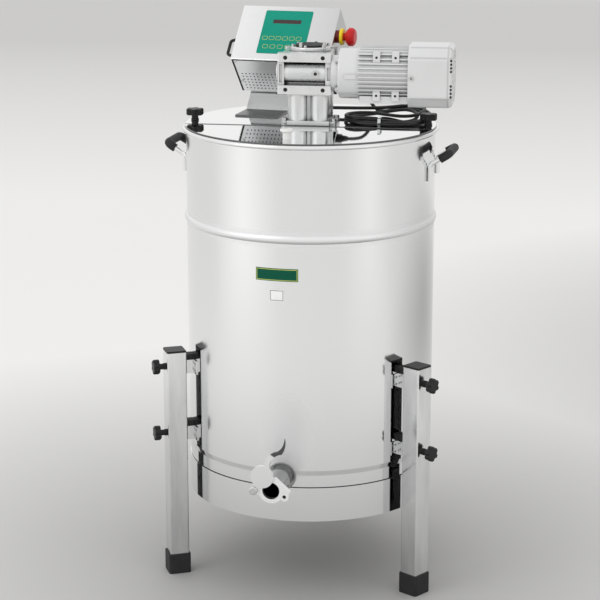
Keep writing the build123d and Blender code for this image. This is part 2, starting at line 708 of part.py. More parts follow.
def drive_tower():
    top = GEAR_BOTTOM
    foot = LID_TOP + TOWER_FLANGE
    tower = block((-PILLAR_X, PILLAR_X), (-PILLAR_Y - PILLAR / 3, PILLAR_Y + PILLAR / 3), (LID_TOP, top))
    tower += block((-PILLAR_X - PILLAR * 0.8, PILLAR_X + PILLAR * 0.8), (-PILLAR_Y, PILLAR_Y), (LID_TOP, top))
    for x in (-PILLAR_X, PILLAR_X):
        for y in (-PILLAR_Y, PILLAR_Y):
            tower += post(PILLAR, LID_TOP, top, x, y)
    wide, deep = PILLAR_X + PILLAR, PILLAR_Y + PILLAR
    tower += block((-wide, wide), (-deep, deep), (LID_TOP, foot))
    ears = block((-EAR_REACH, EAR_REACH), (-EAR_HALF, EAR_HALF), (LID_TOP, foot - 2))
    tower += fillet(ears.edges().filter_by(Axis.Z), TOWER_FLANGE * 0.8)
    tower += block((-wide, wide), (-deep, deep), (top - TOWER_FLANGE * 0.6, top))
    return tower - post(SHAFT + 2, LID_TOP, top)


def gearbox_housing():
    low, high = GEAR_BOTTOM, GEAR_TOP
    core = block(
        (GEAR_LEFT + GEAR_INSET, GEAR_RIGHT - GEAR_INSET),
        (WORM_Y, GEAR_BACK - GEAR_INSET / 2), (low + 2, high - 2),
    )
    case = fillet(core.edges().filter_by(Axis.Z), CASE_ROUND)
    case += rod_x(WORM_BARREL, GEAR_LEFT, GEAR_RIGHT, WORM_Y, DRIVE_Z)
    case += post(COVER - 1, low, high)
    web = (GEAR_LEFT + WEB_IN, GEAR_RIGHT - WEB_IN)
    for z in ((low, low + FRAME_BAR), (high - FRAME_BAR, high)):
        for y in ((GEAR_FRONT, GEAR_FRONT + FRAME_DEEP), (GEAR_BACK - FRAME_DEEP / 2, GEAR_BACK)):
            bar = block((GEAR_LEFT, GEAR_RIGHT), y, z)
            case += fillet(bar.edges().filter_by(Axis.Z), 3)
        case += block(web, (GEAR_FRONT + 8, WORM_Y + 12), (z[0] + 3, z[1] - 3))
    for side, end in ((-1, GEAR_LEFT), (1, GEAR_RIGHT)):
        upright = sorted((end, end - side * FRAME_POST))
        case += block(upright, (GEAR_FRONT + 5, WORM_Y + 8), (low + 4, high - 4))
        pocket = sorted((end - side * POCKET_IN, end - side * (FRAME_POST - POCKET_IN)))
        half = POCKET_HALF[side]
        case -= block(pocket, (GEAR_FRONT, GEAR_FRONT + POCKET_DEEP), (DRIVE_Z - half, DRIVE_Z + half))
    for x in FRAME_HOLE_X:
        for z in (low + FRAME_HOLE_IN, high - FRAME_HOLE_IN):
            case -= rod_y(FRAME_HOLE, GEAR_FRONT, GEAR_FRONT + FRAME_DEEP * 0.6, x, z)
            case -= rod_y(FRAME_HOLE, GEAR_BACK - 6, GEAR_BACK, x, z)
    half = WHEEL_FACE / 2 + CASE_ROOM
    case -= post(WHEEL + CASE_ROOM, DRIVE_Z - half, DRIVE_Z + half)
    case -= post(OUT_BEARING - 3, low, high)
    case -= post(OUT_BEARING, DRIVE_Z + half + SHOULDER, high)
    case -= post(OUT_BEARING, low, DRIVE_Z - half - SHOULDER)
    case -= rod_x(WORM + CASE_ROOM, -WORM_HALF - CASE_ROOM, WORM_HALF + CASE_ROOM, WORM_Y, DRIVE_Z)
    case -= rod_x(WORM_BEARING - 3, GEAR_LEFT, GEAR_RIGHT, WORM_Y, DRIVE_Z)
    reach = WORM_HALF + CASE_ROOM + SHOULDER
    case -= rod_x(WORM_BEARING, GEAR_LEFT, -reach, WORM_Y, DRIVE_Z)
    return case - rod_x(WORM_BEARING, reach, GEAR_RIGHT, WORM_Y, DRIVE_Z)


def gearbox_covers():
    top = bush(COVER, CAP - 4, GEAR_TOP, GEAR_TOP + COVER_TALL)
    top = fillet(top.edges().group_by(Axis.Z)[-1].sort_by(SortBy.RADIUS)[-1], 2)
    end = rod_x(WORM_BEARING + 2, GEAR_LEFT - 4, GEAR_LEFT, WORM_Y, DRIVE_Z)
    return [top, fillet(end.edges().group_by(Axis.X)[0], 1.5)]


def output_cap():
    flange = post(CAP, GEAR_TOP + COVER_TALL, GEAR_TOP + COVER_TALL + CAP_TALL)
    flange = fillet(flange.edges().group_by(Axis.Z)[-1], CAP_TALL * 0.6)
    return flange + post(CAP - 4 - SEAT, GEAR_TOP + 2, GEAR_TOP + COVER_TALL)


def bearings():
    half = WHEEL_FACE / 2 + CASE_ROOM + SHOULDER
    outer, inner = OUT_BEARING - SEAT, SHAFT + RUNNING
    reach = WORM_HALF + CASE_ROOM + SHOULDER
    journal = WORM_JOURNAL + RUNNING
    shaft = ROTOR_SHAFT + RUNNING
    worm_seat = WORM_BEARING - SEAT
    return [
        bush(outer, inner, DRIVE_Z + half, DRIVE_Z + half + BEARING_FACE),
        bush(outer, inner, DRIVE_Z - half - BEARING_FACE, DRIVE_Z - half),
        bush_x(worm_seat, journal, -reach - BEARING_FACE, -reach),
        bush_x(worm_seat, journal, reach, reach + BEARING_FACE),
        bush_x(worm_seat, shaft, FLANGE_END - BEARING_FACE - SHOULDER, FLANGE_END - SHOULDER),
        bush_x(worm_seat, shaft, FRAME_END - END_WALL, FRAME_END - SHOULDER),
        bush(FOOT_BUSH, inner, FLOOR_TOP, FLOOR_TOP + FOOT_BUSH_TALL),
    ]


def worm_shaft():
    reach = WORM_HALF + CASE_ROOM + SHOULDER + BEARING_FACE
    shaft = rod_x(WORM_JOURNAL, -reach, GEAR_RIGHT + FLANGE_NECK_LONG / 2, WORM_Y, DRIVE_Z)
    shaft += rod_x(WORM, -WORM_HALF, WORM_HALF, WORM_Y, DRIVE_Z)
    pitch = 2 * WORM_HALF / WORM_GROOVES
    for k in range(WORM_GROOVES):
        left = -WORM_HALF + (k + 0.3) * pitch
        shaft -= bush_x(WORM + 1, WORM - TOOTH + 1, left, left + pitch * 0.4)
    return shaft


def worm_wheel():
    blank = Circle(WHEEL)
    width = 3.1416 * WHEEL / WHEEL_TEETH
    blank -= PolarLocations(WHEEL, WHEEL_TEETH) * Rectangle(2 * TOOTH, width)
    wheel = Pos(0, 0, DRIVE_Z - WHEEL_FACE / 2) * extrude(blank, WHEEL_FACE)
    return wheel - post(SHAFT + SEAT, 0, GEAR_TOP)


# Motor

def motor_flange():
    left, neck = GEAR_RIGHT, GEAR_RIGHT + FLANGE_NECK_LONG
    disc = rod_x(FLANGE_DISC, neck, FLANGE_END, WORM_Y, DRIVE_Z)
    disc = fillet(disc.edges().group_by(Axis.X)[0], 3)
    flange = disc + rod_x(FLANGE_NECK_RADIUS, left, neck + 10, WORM_Y, DRIVE_Z)
    reach = FLANGE_DISC + LUG_OUT
    flange += block(
        (FLANGE_END - LUG_LONG, FLANGE_END), (WORM_Y - reach, WORM_Y + reach),
        (DRIVE_Z - LUG_TALL / 2, DRIVE_Z + LUG_TALL / 2),
    )
    flange -= rod_x(WORM_BEARING - 3, left, FLANGE_END, WORM_Y, DRIVE_Z)
    return flange - rod_x(WORM_BEARING, FLANGE_END - BEARING_FACE - SHOULDER, FLANGE_END, WORM_Y, DRIVE_Z)


def motor_fins():
    """Plates that stand out sideways, and upright ones on the crown and belly."""
    left, right = FLANGE_END + 3, FRAME_END - END_WALL
    side = FIN_RADIUS
    plates = []
    for k in range(-5, 6):
        z = DRIVE_Z + k * FIN_PITCH
        plates.append(block((left, right), (WORM_Y - side, WORM_Y + side), (z - FIN / 2, z + FIN / 2)))
    for k in range(-3, 4):
        y = WORM_Y + k * FIN_PITCH
        plates.append(block((left, right), (y - FIN / 2, y + FIN / 2), (DRIVE_Z - side, DRIVE_Z + side)))
    limit = rod_x(FIN_RADIUS, left, right, WORM_Y, DRIVE_Z)
    return [plate & limit for plate in plates]


def motor_frame():
    left, right = FLANGE_END, FRAME_END
    frame = rod_x(FRAME_CORE, left, right, WORM_Y, DRIVE_Z) + motor_fins()
    rim = FAN_COVER - FAN_COVER_SHEET - SEAT
    frame += rod_x(rim, right - END_WALL, right, WORM_Y, DRIVE_Z)
    wide, deep, tall = MOTOR_PAD
    front = WORM_Y - FIN_RADIUS - 1
    for x in PAD_X:
        for z in (DRIVE_Z - PAD_RISE, DRIVE_Z + PAD_RISE):
            pad_x, pad_z = (x - wide / 2, x + wide / 2), (z - tall / 2, z + tall / 2)
            pad = block(pad_x, (front + deep, front + 3 * deep), pad_z)
            frame += pad - rod_y(PAD_HOLE, front + deep, front + 1.5 * deep, x, z)
    rail_x = (left + 6, right - END_WALL)
    rail_z = (DRIVE_Z - RAIL_RISE - RAIL_TALL / 2, DRIVE_Z - RAIL_RISE + RAIL_TALL / 2)
    frame += block(rail_x, (front + 1.5 * deep, front + 1.5 * deep + RAIL_DEEP), rail_z)
    seat = WORM_Y + FIN_RADIUS + BOX_SEAT
    box_end = FRAME_END - END_WALL - BOX_FROM_END
    box_x = (box_end - BOX_LONG, box_end)
    frame += block(box_x, (WORM_Y + FRAME_CORE * 0.8, seat), (DRIVE_Z - BOX_TALL / 2, DRIVE_Z + BOX_TALL / 2))
    stop = left + STATOR_IN + STATOR_LONG
    frame -= rod_x(FRAME_BORE, left, stop, WORM_Y, DRIVE_Z)
    frame -= rod_x(FRAME_BORE - SHOULDER, stop, right - END_WALL, WORM_Y, DRIVE_Z)
    frame -= rod_x(WORM_BEARING, right - END_WALL, right - SHOULDER, WORM_Y, DRIVE_Z)
    return frame - rod_x(WORM_BEARING - 3, right - SHOULDER, right, WORM_Y, DRIVE_Z)


def motor_stator():
    left = FLANGE_END + STATOR_IN
    return bush_x(FRAME_BORE - SEAT, ROTOR + AIR_GAP, left, left + STATOR_LONG)


def motor_rotor():
    left = FLANGE_END + STATOR_IN
    joint = GEAR_RIGHT + FLANGE_NECK_LONG / 2
    shaft = rod_x(ROTOR_SHAFT, joint, FRAME_END + FAN_AT + FAN_WIDE, WORM_Y, DRIVE_Z)
    return shaft + rod_x(ROTOR, left + 2, left + STATOR_LONG - 2, WORM_Y, DRIVE_Z)


def motor_fan():
    left = FRAME_END + FAN_AT
    right = left + FAN_WIDE
    fan = rod_x(2 * ROTOR_SHAFT, left, right, WORM_Y, DRIVE_Z)
    fan += rod_x(FAN_RADIUS, left, left + 2.5, WORM_Y, DRIVE_Z)
    blade = block((left, right), (-1.2, 1.2), (ROTOR_SHAFT * 1.5, FAN_RADIUS))
    for k in range(FAN_BLADES):
        fan += Pos(0, WORM_Y, DRIVE_Z) * Rot(k * 360 / FAN_BLADES, 0, 0) * blade
    return fan - rod_x(ROTOR_SHAFT + SEAT, left, right, WORM_Y, DRIVE_Z)


def cover_solid(inset):
    """The fan cover's chamfered square, or its hollow when inset by the sheet."""
    half = FAN_COVER - inset
    section = Rectangle(2 * half, 2 * half)
    section = chamfer(section.vertices(), FAN_COVER_CHAMFER - inset * (2 - sqrt(2)))
    section = fillet(section.vertices(), FAN_COVER_EDGE - inset)
    left = FRAME_END - END_WALL
    solid = Pos(left, WORM_Y, DRIVE_Z) * Rot(0, 90, 0) * extrude(section, COVER_END - inset - left)
    return fillet(solid.edges().group_by(Axis.X)[-1], FAN_COVER_ROUND - inset)


def fan_cover():
    outer = cover_solid(0.0)
    inner = cover_solid(FAN_COVER_SHEET)
    cover = outer - inner
    place = Pos(COVER_END - 2 * FAN_COVER_SHEET, WORM_Y, DRIVE_Z) * Rot(0, 90, 0)
    hole = Cylinder(VENT_HOLE, 3 * FAN_COVER_SHEET, align=UP)
    for radius, count in VENT_RINGS.items():
        cover -= [place * loc * hole for loc in PolarLocations(radius, count)]
    return cover


def terminal_box():
    right = FRAME_END - END_WALL - BOX_FROM_END
    front = WORM_Y + FIN_RADIUS + BOX_SEAT
    low, high = DRIVE_Z - BOX_TALL / 2, DRIVE_Z + BOX_TALL / 2
    shell = block((right - BOX_LONG, right), (front, front + BOX_DEEP), (low, high))
    shell = fillet(shell.edges().group_by(Axis.Y)[-1], 4)
    room = block(
        (right - BOX_LONG + BOX_WALL, right - BOX_WALL), (front + BOX_WALL, front + BOX_DEEP - BOX_WALL),
        (low + BOX_WALL, high - BOX_WALL),
    )
    gland_x, gland_y, gland_z = MOTOR_ROUTE[0]
    lift = LID_TOP + gland_z
    gland = rod_y(GLAND_NUT, front + BOX_DEEP, gland_y, gland_x, lift)
    return shell - room + gland


# Stirrer

def stirrer_shaft():
    return post(SHAFT, FLOOR_TOP + 1, GEAR_TOP - 2)


def stirrer_blade(level, height):
    hub = bush(HUB, SHAFT + SEAT, height - HUB_TALL / 2, height + HUB_TALL / 2)
    thick, wide = BLADE_SHEET / 2, BLADE_WIDE / 2
    arm = block((HUB * 0.8, BLADE_REACH), (-thick, thick), (-wide, wide))
    for half in (0, 180):
        hub += Rot(0, 0, half) * Pos(0, 0, height) * Rot(BLADE_TILT_ANGLE, 0, 0) * arm
    hub -= post(SHAFT + SEAT, height - HUB_TALL, height + HUB_TALL)
    return turned(hub, BLADE_REST_ANGLE + level * BLADE_STEP_ANGLE)


# Control box

CONSOLE = Pos(*BOX_CORNER, LID_TOP + BOX_CORNER_UP) * Rot(0, 0, BOX_TURN_ANGLE)
CONSOLE_FLAT = CONSOLE * Rot(BOX_TILT_ANGLE, 0, 0)


def flat(shape):
    """Put a piece drawn on the flat control box into its place."""
    return CONSOLE_FLAT * shape


def console_shell():
    wall = CONSOLE_SHEET
    outer = block((0, CONSOLE_WIDE), (0, CONSOLE_LONG), (-CONSOLE_DEEP, 0))
    outer = fillet(outer.edges(), CONSOLE_ROUND)
    room = block((wall, CONSOLE_WIDE - wall), (wall, CONSOLE_LONG - wall), (wall - CONSOLE_DEEP, -wall))
    mouth_z = (VENT_LIP / 2 - CONSOLE_DEEP, -VENT_LIP / 2)
    mouth = block((VENT_LIP, CONSOLE_WIDE - VENT_LIP), (-1, wall + 1), mouth_z)
    x, y, wide, tall = DISPLAY
    window = block((x, x + wide), (y, y + tall), (-wall - 1, 1))
    stop = rod_x(STOP_BARREL + SEAT, CONSOLE_WIDE - 2 * wall, CONSOLE_WIDE, STOP_UP, -STOP_IN)
    return flat(outer - room - mouth - window - stop)


def vent_panel():
    margin = VENT_LIP - 5
    wide, deep = CONSOLE_WIDE - 2 * margin, CONSOLE_DEEP - margin
    columns = int((CONSOLE_WIDE - 2 * VENT_SIDE) / VENT_COLUMN) + 1
    holes = []
    for row in range(VENT_ROWS):
        for column in range(columns):
            u = VENT_SIDE + column * VENT_COLUMN
            down = CONSOLE_DEEP / 2 - VENT_FROM - row * VENT_ROW
            holes.append(Pos(u - CONSOLE_WIDE / 2, down) * Circle(VENT_BORE))
    sheet = Rectangle(wide, deep) - holes
    plane = Plane(origin=(CONSOLE_WIDE / 2, 0, -CONSOLE_DEEP / 2), x_dir=(1, 0, 0), z_dir=(0, -1, 0))
    return flat(extrude(plane * sheet, CONSOLE_SHEET))


def keypad_membrane():
    x, y, wide, tall = MEMBRANE
    sheet = extrude(Pos(x + wide / 2, y + tall / 2) * RectangleRounded(wide, tall, 3), MEMBRANE_SHEET)
    x, y, wide, tall = DISPLAY
    return flat(sheet - block((x, x + wide), (y, y + tall), (-1, 1)))


def control_board():
    x, y, wide, tall = MEMBRANE
    low = -BOARD_BELOW - BOARD_SHEET
    board = block((x - BOARD_EDGE, x + wide + BOARD_EDGE), (y, y + tall), (low, -BOARD_BELOW))
    for px in (x - BOARD_EDGE / 2, x + wide + BOARD_EDGE / 2):
        for py in (y + BOARD_EDGE / 2, y + tall - BOARD_EDGE / 2):
            board += post(STANDOFF, -BOARD_BELOW, -CONSOLE_SHEET, px, py)
    x, y, wide, tall = DISPLAY
    gap = DISPLAY_GAP
    lens = block((x + gap, x + wide - gap), (y + gap, y + tall - gap), (-BOARD_BELOW, MEMBRANE_SHEET / 2))
    return flat(board + lens)


def console_stand():
    """Foot on the lid and a plate up the back of the box, bent from one sheet."""
    tilt = radians(BOX_TILT_ANGLE)
    lid = -BOX_CORNER_UP

    def on_back(depth, up):
        return (depth * sin(tilt) + up * cos(tilt), up * sin(tilt) - depth * cos(tilt))

    def at_level(depth, z):
        return on_back(depth, (z + depth * cos(tilt)) / sin(tilt))

    front, back = CONSOLE_DEEP, CONSOLE_DEEP + STAND_SHEET
    heel, crook = at_level(back, lid), at_level(front, lid + STAND_SHEET)
    toe = crook[0] - STAND_FOOT
    outline = Polyline(
        (toe, lid), heel, on_back(back, STAND_BEHIND), on_back(front, STAND_BEHIND),
        crook, (toe, lid + STAND_SHEET), close=True,
    )
    plane = Plane(origin=(STAND_FROM, 0, 0), x_dir=(0, 1, 0), z_dir=(1, 0, 0))
    return CONSOLE * extrude(plane * make_face(outline), STAND_WIDE)


def stop_rod(radius, left, right):
    return rod_x(radius, CONSOLE_WIDE + left, CONSOLE_WIDE + right, STOP_UP, -STOP_IN)


def estop_base():
    base = stop_rod(STOP_BARREL, -BOARD_BELOW, 0) + stop_rod(STOP_BASE, 0, STOP_BASE_LONG)
    return flat(base - stop_rod(STOP_STEM + RUNNING, -BOARD_BELOW, STOP_BASE_LONG))


def estop_collar():
    left, right = STOP_BASE_LONG, STOP_BASE_LONG + STOP_COLLAR_LONG
    ring = stop_rod(STOP_COLLAR, left, right) - stop_rod(STOP_STEM + RUNNING, left, right)
    return flat(chamfer(ring.edges().group_by(Axis.X)[-1].sort_by(SortBy.RADIUS)[-1], 1.5))


def estop_head():
    left = STOP_BASE_LONG + STOP_COLLAR_LONG + STOP_TRAVEL + APART
    right = left + STOP_HEAD_LONG
    head = stop_rod(STOP_HEAD, left, right)
    head = fillet(head.edges().group_by(Axis.X)[-1], STOP_HEAD_LONG * 0.45)
    head = chamfer(head.edges().group_by(Axis.X)[0], STOP_HEAD_LONG * 0.3)
    return flat(head + stop_rod(STOP_STEM, -STOP_TRAVEL, left + 1))


def console_pull():
    points = [
        (0, PULL_FROM, -PULL_IN), (-PULL_OUT, PULL_FROM + PULL_OUT / 3, -PULL_IN),
        (-PULL_OUT, PULL_TO - PULL_OUT / 3, -PULL_IN), (0, PULL_TO, -PULL_IN),
    ]
    bow = tube_along(FilletPolyline(*points, radius=6), PULL_ROD)
    return flat(bow - block((0, CONSOLE_WIDE), (0, CONSOLE_LONG), (-CONSOLE_DEEP, 0)))


def gland_tip(at, reach=0.0):
    """Where a lead leaves a gland of the box, or a point straight out from there."""
    up, depth = at
    return (CONSOLE_FLAT * Pos(CONSOLE_WIDE + GLAND_LONG + reach, up, -depth)).position


def console_gland(at):
    """A gland on the right-hand side of the box, at a place up and into it."""
    up, depth = at
    nut = rod_x(GLAND_NUT, CONSOLE_WIDE, CONSOLE_WIDE + GLAND_LONG * 0.4, up, -depth)
    sleeve = Pos(CONSOLE_WIDE + GLAND_LONG * 0.4, up, -depth) * Rot(0, 90, 0) * Cone(
        GLAND_NUT * 0.8, LEAD * 1.4, GLAND_LONG * 0.6, align=UP
    )
    return flat(nut + sleeve)


# Leads

def hank_path():
    """Loops that wind inwards on the lid, climb along a front run and end in a figure of eight on top."""
    edges = []
    at = [Vector(MAINS_ROUTE[-1][0], HANK_BACK[0], HANK_Z)]

    def run_to(x):
        target = Vector(x, at[0].Y, at[0].Z)
        edges.append(Line(at[0], target))
        at[0] = target

    def half_turn(y, way):
        target = Vector(at[0].X, y, at[0].Z)
        radius = abs(y - at[0].Y) / 2
        middle = Vector(at[0].X + way * radius, (y + at[0].Y) / 2, at[0].Z)
        edges.append(ThreePointArc(at[0], middle, target))
        at[0] = target

    def ease_to(target):
        middle = (at[0] + target) / 2
        along = Vector(1 if target.X > at[0].X else -1, 0, 0)
        first = TangentArc(at[0], middle, tangent=along)
        edges.extend([first, TangentArc(middle, target, tangent=first % 1)])
        at[0] = target

    def turn_about(centre, radius, first, last):
        spots = []
        for angle in (first, (first + last) / 2, last):
            spots.append(centre + Vector(radius * cos(angle), radius * sin(angle), 0))
        if (spots[0] - at[0]).length > SEAT:
            edges.append(Line(at[0], spots[0]))
        edges.append(ThreePointArc(*spots))
        at[0] = spots[2]

    for k, front in enumerate(HANK_FRONT):
        run_to(HANK_RIGHT[k] - (HANK_BACK[k] - front) / 2)
        half_turn(front, 1)
        if k < len(HANK_LEFT):
            run_to(HANK_LEFT[k] + (HANK_BACK[k + 1] - front) / 2)
            half_turn(HANK_BACK[k + 1], -1)
    ease_to(Vector(EIGHT_LEFT_X, HANK_FRONT[-1], HANK_Z_TOP))
    left = Vector(EIGHT_LEFT_X, HANK_FRONT[-1] + EIGHT_LEFT, HANK_Z_TOP)
    right = Vector(*EIGHT_RIGHT_AT, HANK_Z_TOP)
    across = right - left
    lean = asin((EIGHT_LEFT + EIGHT_RIGHT) / across.length) - atan2(across.Y, across.X)
    turn_about(left, EIGHT_LEFT, 3 * pi / 2, pi / 2 - lean)
    turn_about(right, EIGHT_RIGHT, -pi / 2 - lean, pi / 2)
    run_to(TAIL_FROM)
    ease_to(Vector(TAIL_TO, TAIL_Y, HANK_Z_TOP))
    run_to(TAIL_TO - 2 * LEAD)
    return Wire([edge if isinstance(edge, Edge) else edge.edge() for edge in edges])


def least_gap(path, radius, step=2.0):
    """Least clear distance between two stretches of a tube that aren't neighbours."""
    count = int(path.length / step)
    points = [path @ (k / count) for k in range(count + 1)]
    skip = int(8 * radius / step)
    least = path.length
    for i, p in enumerate(points):
        for q in points[i + skip:]:
            least = min(least, hypot(p.X - q.X, p.Y - q.Y, p.Z - q.Z))
    return least - 2 * radius


def mains_plug(path):
    face = path @ 1
    left = face.X - PLUG_NECK - PLUG_LONG
    neck = Pos(face.X, TAIL_Y, face.Z) * Rot(0, -90, 0) * Cone(
        LEAD * 1.3, PLUG_TALL * 0.45, PLUG_NECK + 2, align=UP
    )
    low, high = LID_TOP + 0.5, LID_TOP + 0.5 + PLUG_TALL
    body = block(
        (left, left + PLUG_LONG), (TAIL_Y - PLUG_WIDE / 2, TAIL_Y + PLUG_WIDE / 2), (low, high)
    )
    plug = fillet(body.edges(), 5) + neck
    for y in (TAIL_Y - PIN_SPACE / 2, TAIL_Y + PIN_SPACE / 2):
        plug += rod_x(PIN, left - PIN_LONG, left + 2, y, (low + high) / 2)
    return plug


def hank_tie():
    """A flat band round the front runs of the hank."""
    gap = 0.3
    low_y = min(HANK_FRONT) - LEAD - gap
    high_y = max(HANK_FRONT) + LEAD + gap
    low_z, high_z = HANK_Z - LEAD - 0.1, HANK_Z_TOP + LEAD + gap
    x = (TIE_X - TIE_WIDE / 2, TIE_X + TIE_WIDE / 2)
    band = TIE_BAND
    outer = block(x, (low_y - band, high_y + band), (low_z - band, high_z + band))
    outer = fillet(outer.edges().filter_by(Axis.X), 3)
    inner = block(x, (low_y, high_y), (low_z, high_z))
    return outer - fillet(inner.edges().filter_by(Axis.X), 2)


def above_lid(route):
    return [Vector(x, y, LID_TOP + z) for x, y, z in route]


def mains_lead_path():
    gland = [gland_tip(MAINS_GLAND_AT), gland_tip(MAINS_GLAND_AT, GLAND_RUN)]
    return lead_path(gland + above_lid(MAINS_ROUTE))


def motor_lead_path():
    gland = [gland_tip(MOTOR_GLAND_AT, GLAND_RUN), gland_tip(MOTOR_GLAND_AT)]
    return lead_path(above_lid(MOTOR_ROUTE) + gland)


# Fasteners

def fasteners():
    items = []
    for x in (-BOLT_X, BOLT_X):
        for y in (-BOLT_Y, BOLT_Y):
            items.append(hexagon(1.8 * BOLT, LID_TOP + TOWER_FLANGE - 2, 1.4 * BOLT, x, y))
    for loc in PolarLocations(COVER - 4, 6, start_angle=20):
        bolt = post(COVER_SCREW, 0, COVER_SCREW)
        items.append(Pos(0, 0, GEAR_TOP + COVER_TALL) * loc * bolt)
    for loc in PolarLocations(FLANGE_NECK_RADIUS + FLANGE_BOLT_OUT, 4, start_angle=45):
        place = Pos(GEAR_RIGHT + FLANGE_NECK_LONG, WORM_Y, DRIVE_Z) * Rot(0, -90, 0)
        items.append(place * loc * extrude(RegularPolygon(FLANGE_BOLT, 6), FLANGE_BOLT * 1.2))
    for turn in (-115, -36):
        stud = Pos(COVER - 4, 0, 0) * post(COVER_STUD, 0, COVER_STUD_TALL)
        items.append(Pos(0, 0, GEAR_TOP + COVER_TALL) * Rot(0, 0, turn) * stud)
    plug_x = FRAME_HOLE_X[1] - 15
    items.append(rod_y(OIL_PLUG, WORM_Y - WORM_BARREL - 3, WORM_Y - WORM_BARREL - 0.3, plug_x, DRIVE_Z))
    fix_x = FRAME_END - END_WALL + COVER_FIX_IN
    for side in (-1, 1):
        face = WORM_Y + side * FAN_COVER
        items.append(rod_y(COVER_FIX, *sorted((face, face + side * COVER_FIX_HEAD)), fix_x, DRIVE_Z))
    margin = VENT_LIP - 1
    for u in (margin, CONSOLE_WIDE - margin):
        for depth in VENT_SCREW_DEEP:
            screw = rod_y(VENT_SCREW, -CONSOLE_SHEET - VENT_SCREW_HEAD, -CONSOLE_SHEET, u, -depth)
            items.append(flat(screw))
    return items


def group(items):
    return Compound(children=list(items))


def build():
    nodes = {
        "tank_wall": group([tank_wall(), rim_hoop()]),
        "tank_floor": tank_floor(),
        "seam_seal": seam_seal(),
        "base_skirt": base_skirt(),
        "outlet_stub": outlet_stub(),
        "gate_body": gate_body(),
        "gate_flap": gate_flap(),
        "gate_pivot": gate_pivot(),
        "handle_bows": group(handle_bow(a) for a in (-90, 90)),
        "handle_grips": group(handle_grip(a) for a in (-90, 90)),
        "leg_caps": group(leg_cap(a) for a in LEG_ANGLES.values()),
                "crossbar": crossbar(),
        "rear_cover": rear_cover(),
        "front_lid": front_lid(),
        "hinge_pin": hinge_pin(),
        "lid_lift_knob": lift_knob(),
        "clamp_knob_left": clamp_knob(-1),
        "clamp_knob_right": clamp_knob(1),
        "drive_tower": drive_tower(),
        "gearbox_housing": gearbox_housing(),
        "gearbox_covers": group(gearbox_covers()),
        "output_cap": output_cap(),
        "bearings": group(bearings()),
        "worm_shaft": worm_shaft(),
        "worm_wheel": worm_wheel(),
        "fasteners": group(fasteners()),
        "motor_flange": motor_flange(),
        "motor_frame": motor_frame(),
        "motor_stator": motor_stator(),
        "motor_rotor": group([motor_rotor(), motor_fan()]),
        "fan_cover": fan_cover(),
        "terminal_box": terminal_box(),
        "stirrer_shaft": stirrer_shaft(),
        "stirrer_blades": group(stirrer_blade(k, z) for k, z in enumerate(BLADE_HEIGHTS)),
        "console_shell": console_shell(),
        "vent_panel": vent_panel(),
        "console_stand": console_stand(),
        "keypad_membrane": keypad_membrane(),
        "control_board": control_board(),
        "estop_base": estop_base(),
        "estop_collar": estop_collar(),
        "estop_head": estop_head(),
        "console_pull": console_pull(),
        "console_glands": group(console_gland(at) for at in (MAINS_GLAND_AT, MOTOR_GLAND_AT)),
    }
    brackets = [leg_bracket(a, z) for a in LEG_ANGLES.values() for z in KNOB_HEIGHTS.values()]
    nodes["tank_brackets"] = group(brackets + [bar_seat(-1), bar_seat(1)])
    buffers = [leg_buffer(a, z) for a in LEG_ANGLES.values() for z in KNOB_HEIGHTS.values()]
    nodes["leg_rubbers"] = group([rubber_foot(a) for a in LEG_ANGLES.values()] + buffers)
    for side, angle in LEG_ANGLES.items():
        nodes[f"leg_{side}"] = leg_tube(angle)
        for level, height in KNOB_HEIGHTS.items():
            nodes[f"leg_knob_{side}_{level}"] = leg_knob(angle, height)
    hank = hank_path()
    print("hank least gap", round(least_gap(hank, LEAD), 2))
    nodes["mains_hank"] = checked_tube("mains_hank", hank, LEAD)
    nodes["mains_lead"] = checked_tube("mains_lead", mains_lead_path(), LEAD)
    nodes["motor_lead"] = checked_tube("motor_lead", motor_lead_path(), MOTOR_LEAD)
    nodes["mains_plug"] = mains_plug(hank)
    nodes["hank_tie"] = hank_tie()
    return nodes


os.makedirs("parts", exist_ok=True)
for node, shape in build().items():
    export_step(shape, f"parts/{node}.step")
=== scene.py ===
# %% [markdown]
# # A honey creamer in Blender
# The machine is a stainless tank on three square legs. A geared motor on the lid turns a stirrer inside it,
# a tilted control box sits behind the motor, and honey leaves through a swing gate at the foot. Its solids
# come from the CAD frame, which is loaded first and never moved. This lesson adds the camera, the leads,
# the small parts that the solids leave out, and a finish for every surface.

# %% Load the frame
from math import asin, atan2, cos, degrees, hypot, pi, radians, sin

import bpy
from mathutils import Matrix, Vector


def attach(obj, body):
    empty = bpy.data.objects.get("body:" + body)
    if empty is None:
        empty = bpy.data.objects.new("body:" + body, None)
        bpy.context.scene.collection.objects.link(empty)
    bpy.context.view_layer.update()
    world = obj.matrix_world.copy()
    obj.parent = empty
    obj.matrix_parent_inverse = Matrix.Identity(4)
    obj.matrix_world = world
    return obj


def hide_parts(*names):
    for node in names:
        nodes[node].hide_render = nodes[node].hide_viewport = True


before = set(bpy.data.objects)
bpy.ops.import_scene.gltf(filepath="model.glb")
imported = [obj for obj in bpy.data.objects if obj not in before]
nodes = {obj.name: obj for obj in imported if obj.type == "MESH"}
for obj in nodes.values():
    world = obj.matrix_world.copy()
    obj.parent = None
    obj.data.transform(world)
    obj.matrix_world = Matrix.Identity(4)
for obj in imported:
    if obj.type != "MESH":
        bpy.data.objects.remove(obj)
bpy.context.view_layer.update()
scene = bpy.context.scene

# %% [markdown]
# ## Camera
# The photograph was taken from a little right of the front with a long lens, somewhat over half a metre
# above the lid. A long lens keeps the tank's sides nearly parallel, so the camera stands well back. The
# floor fills the whole picture from there.

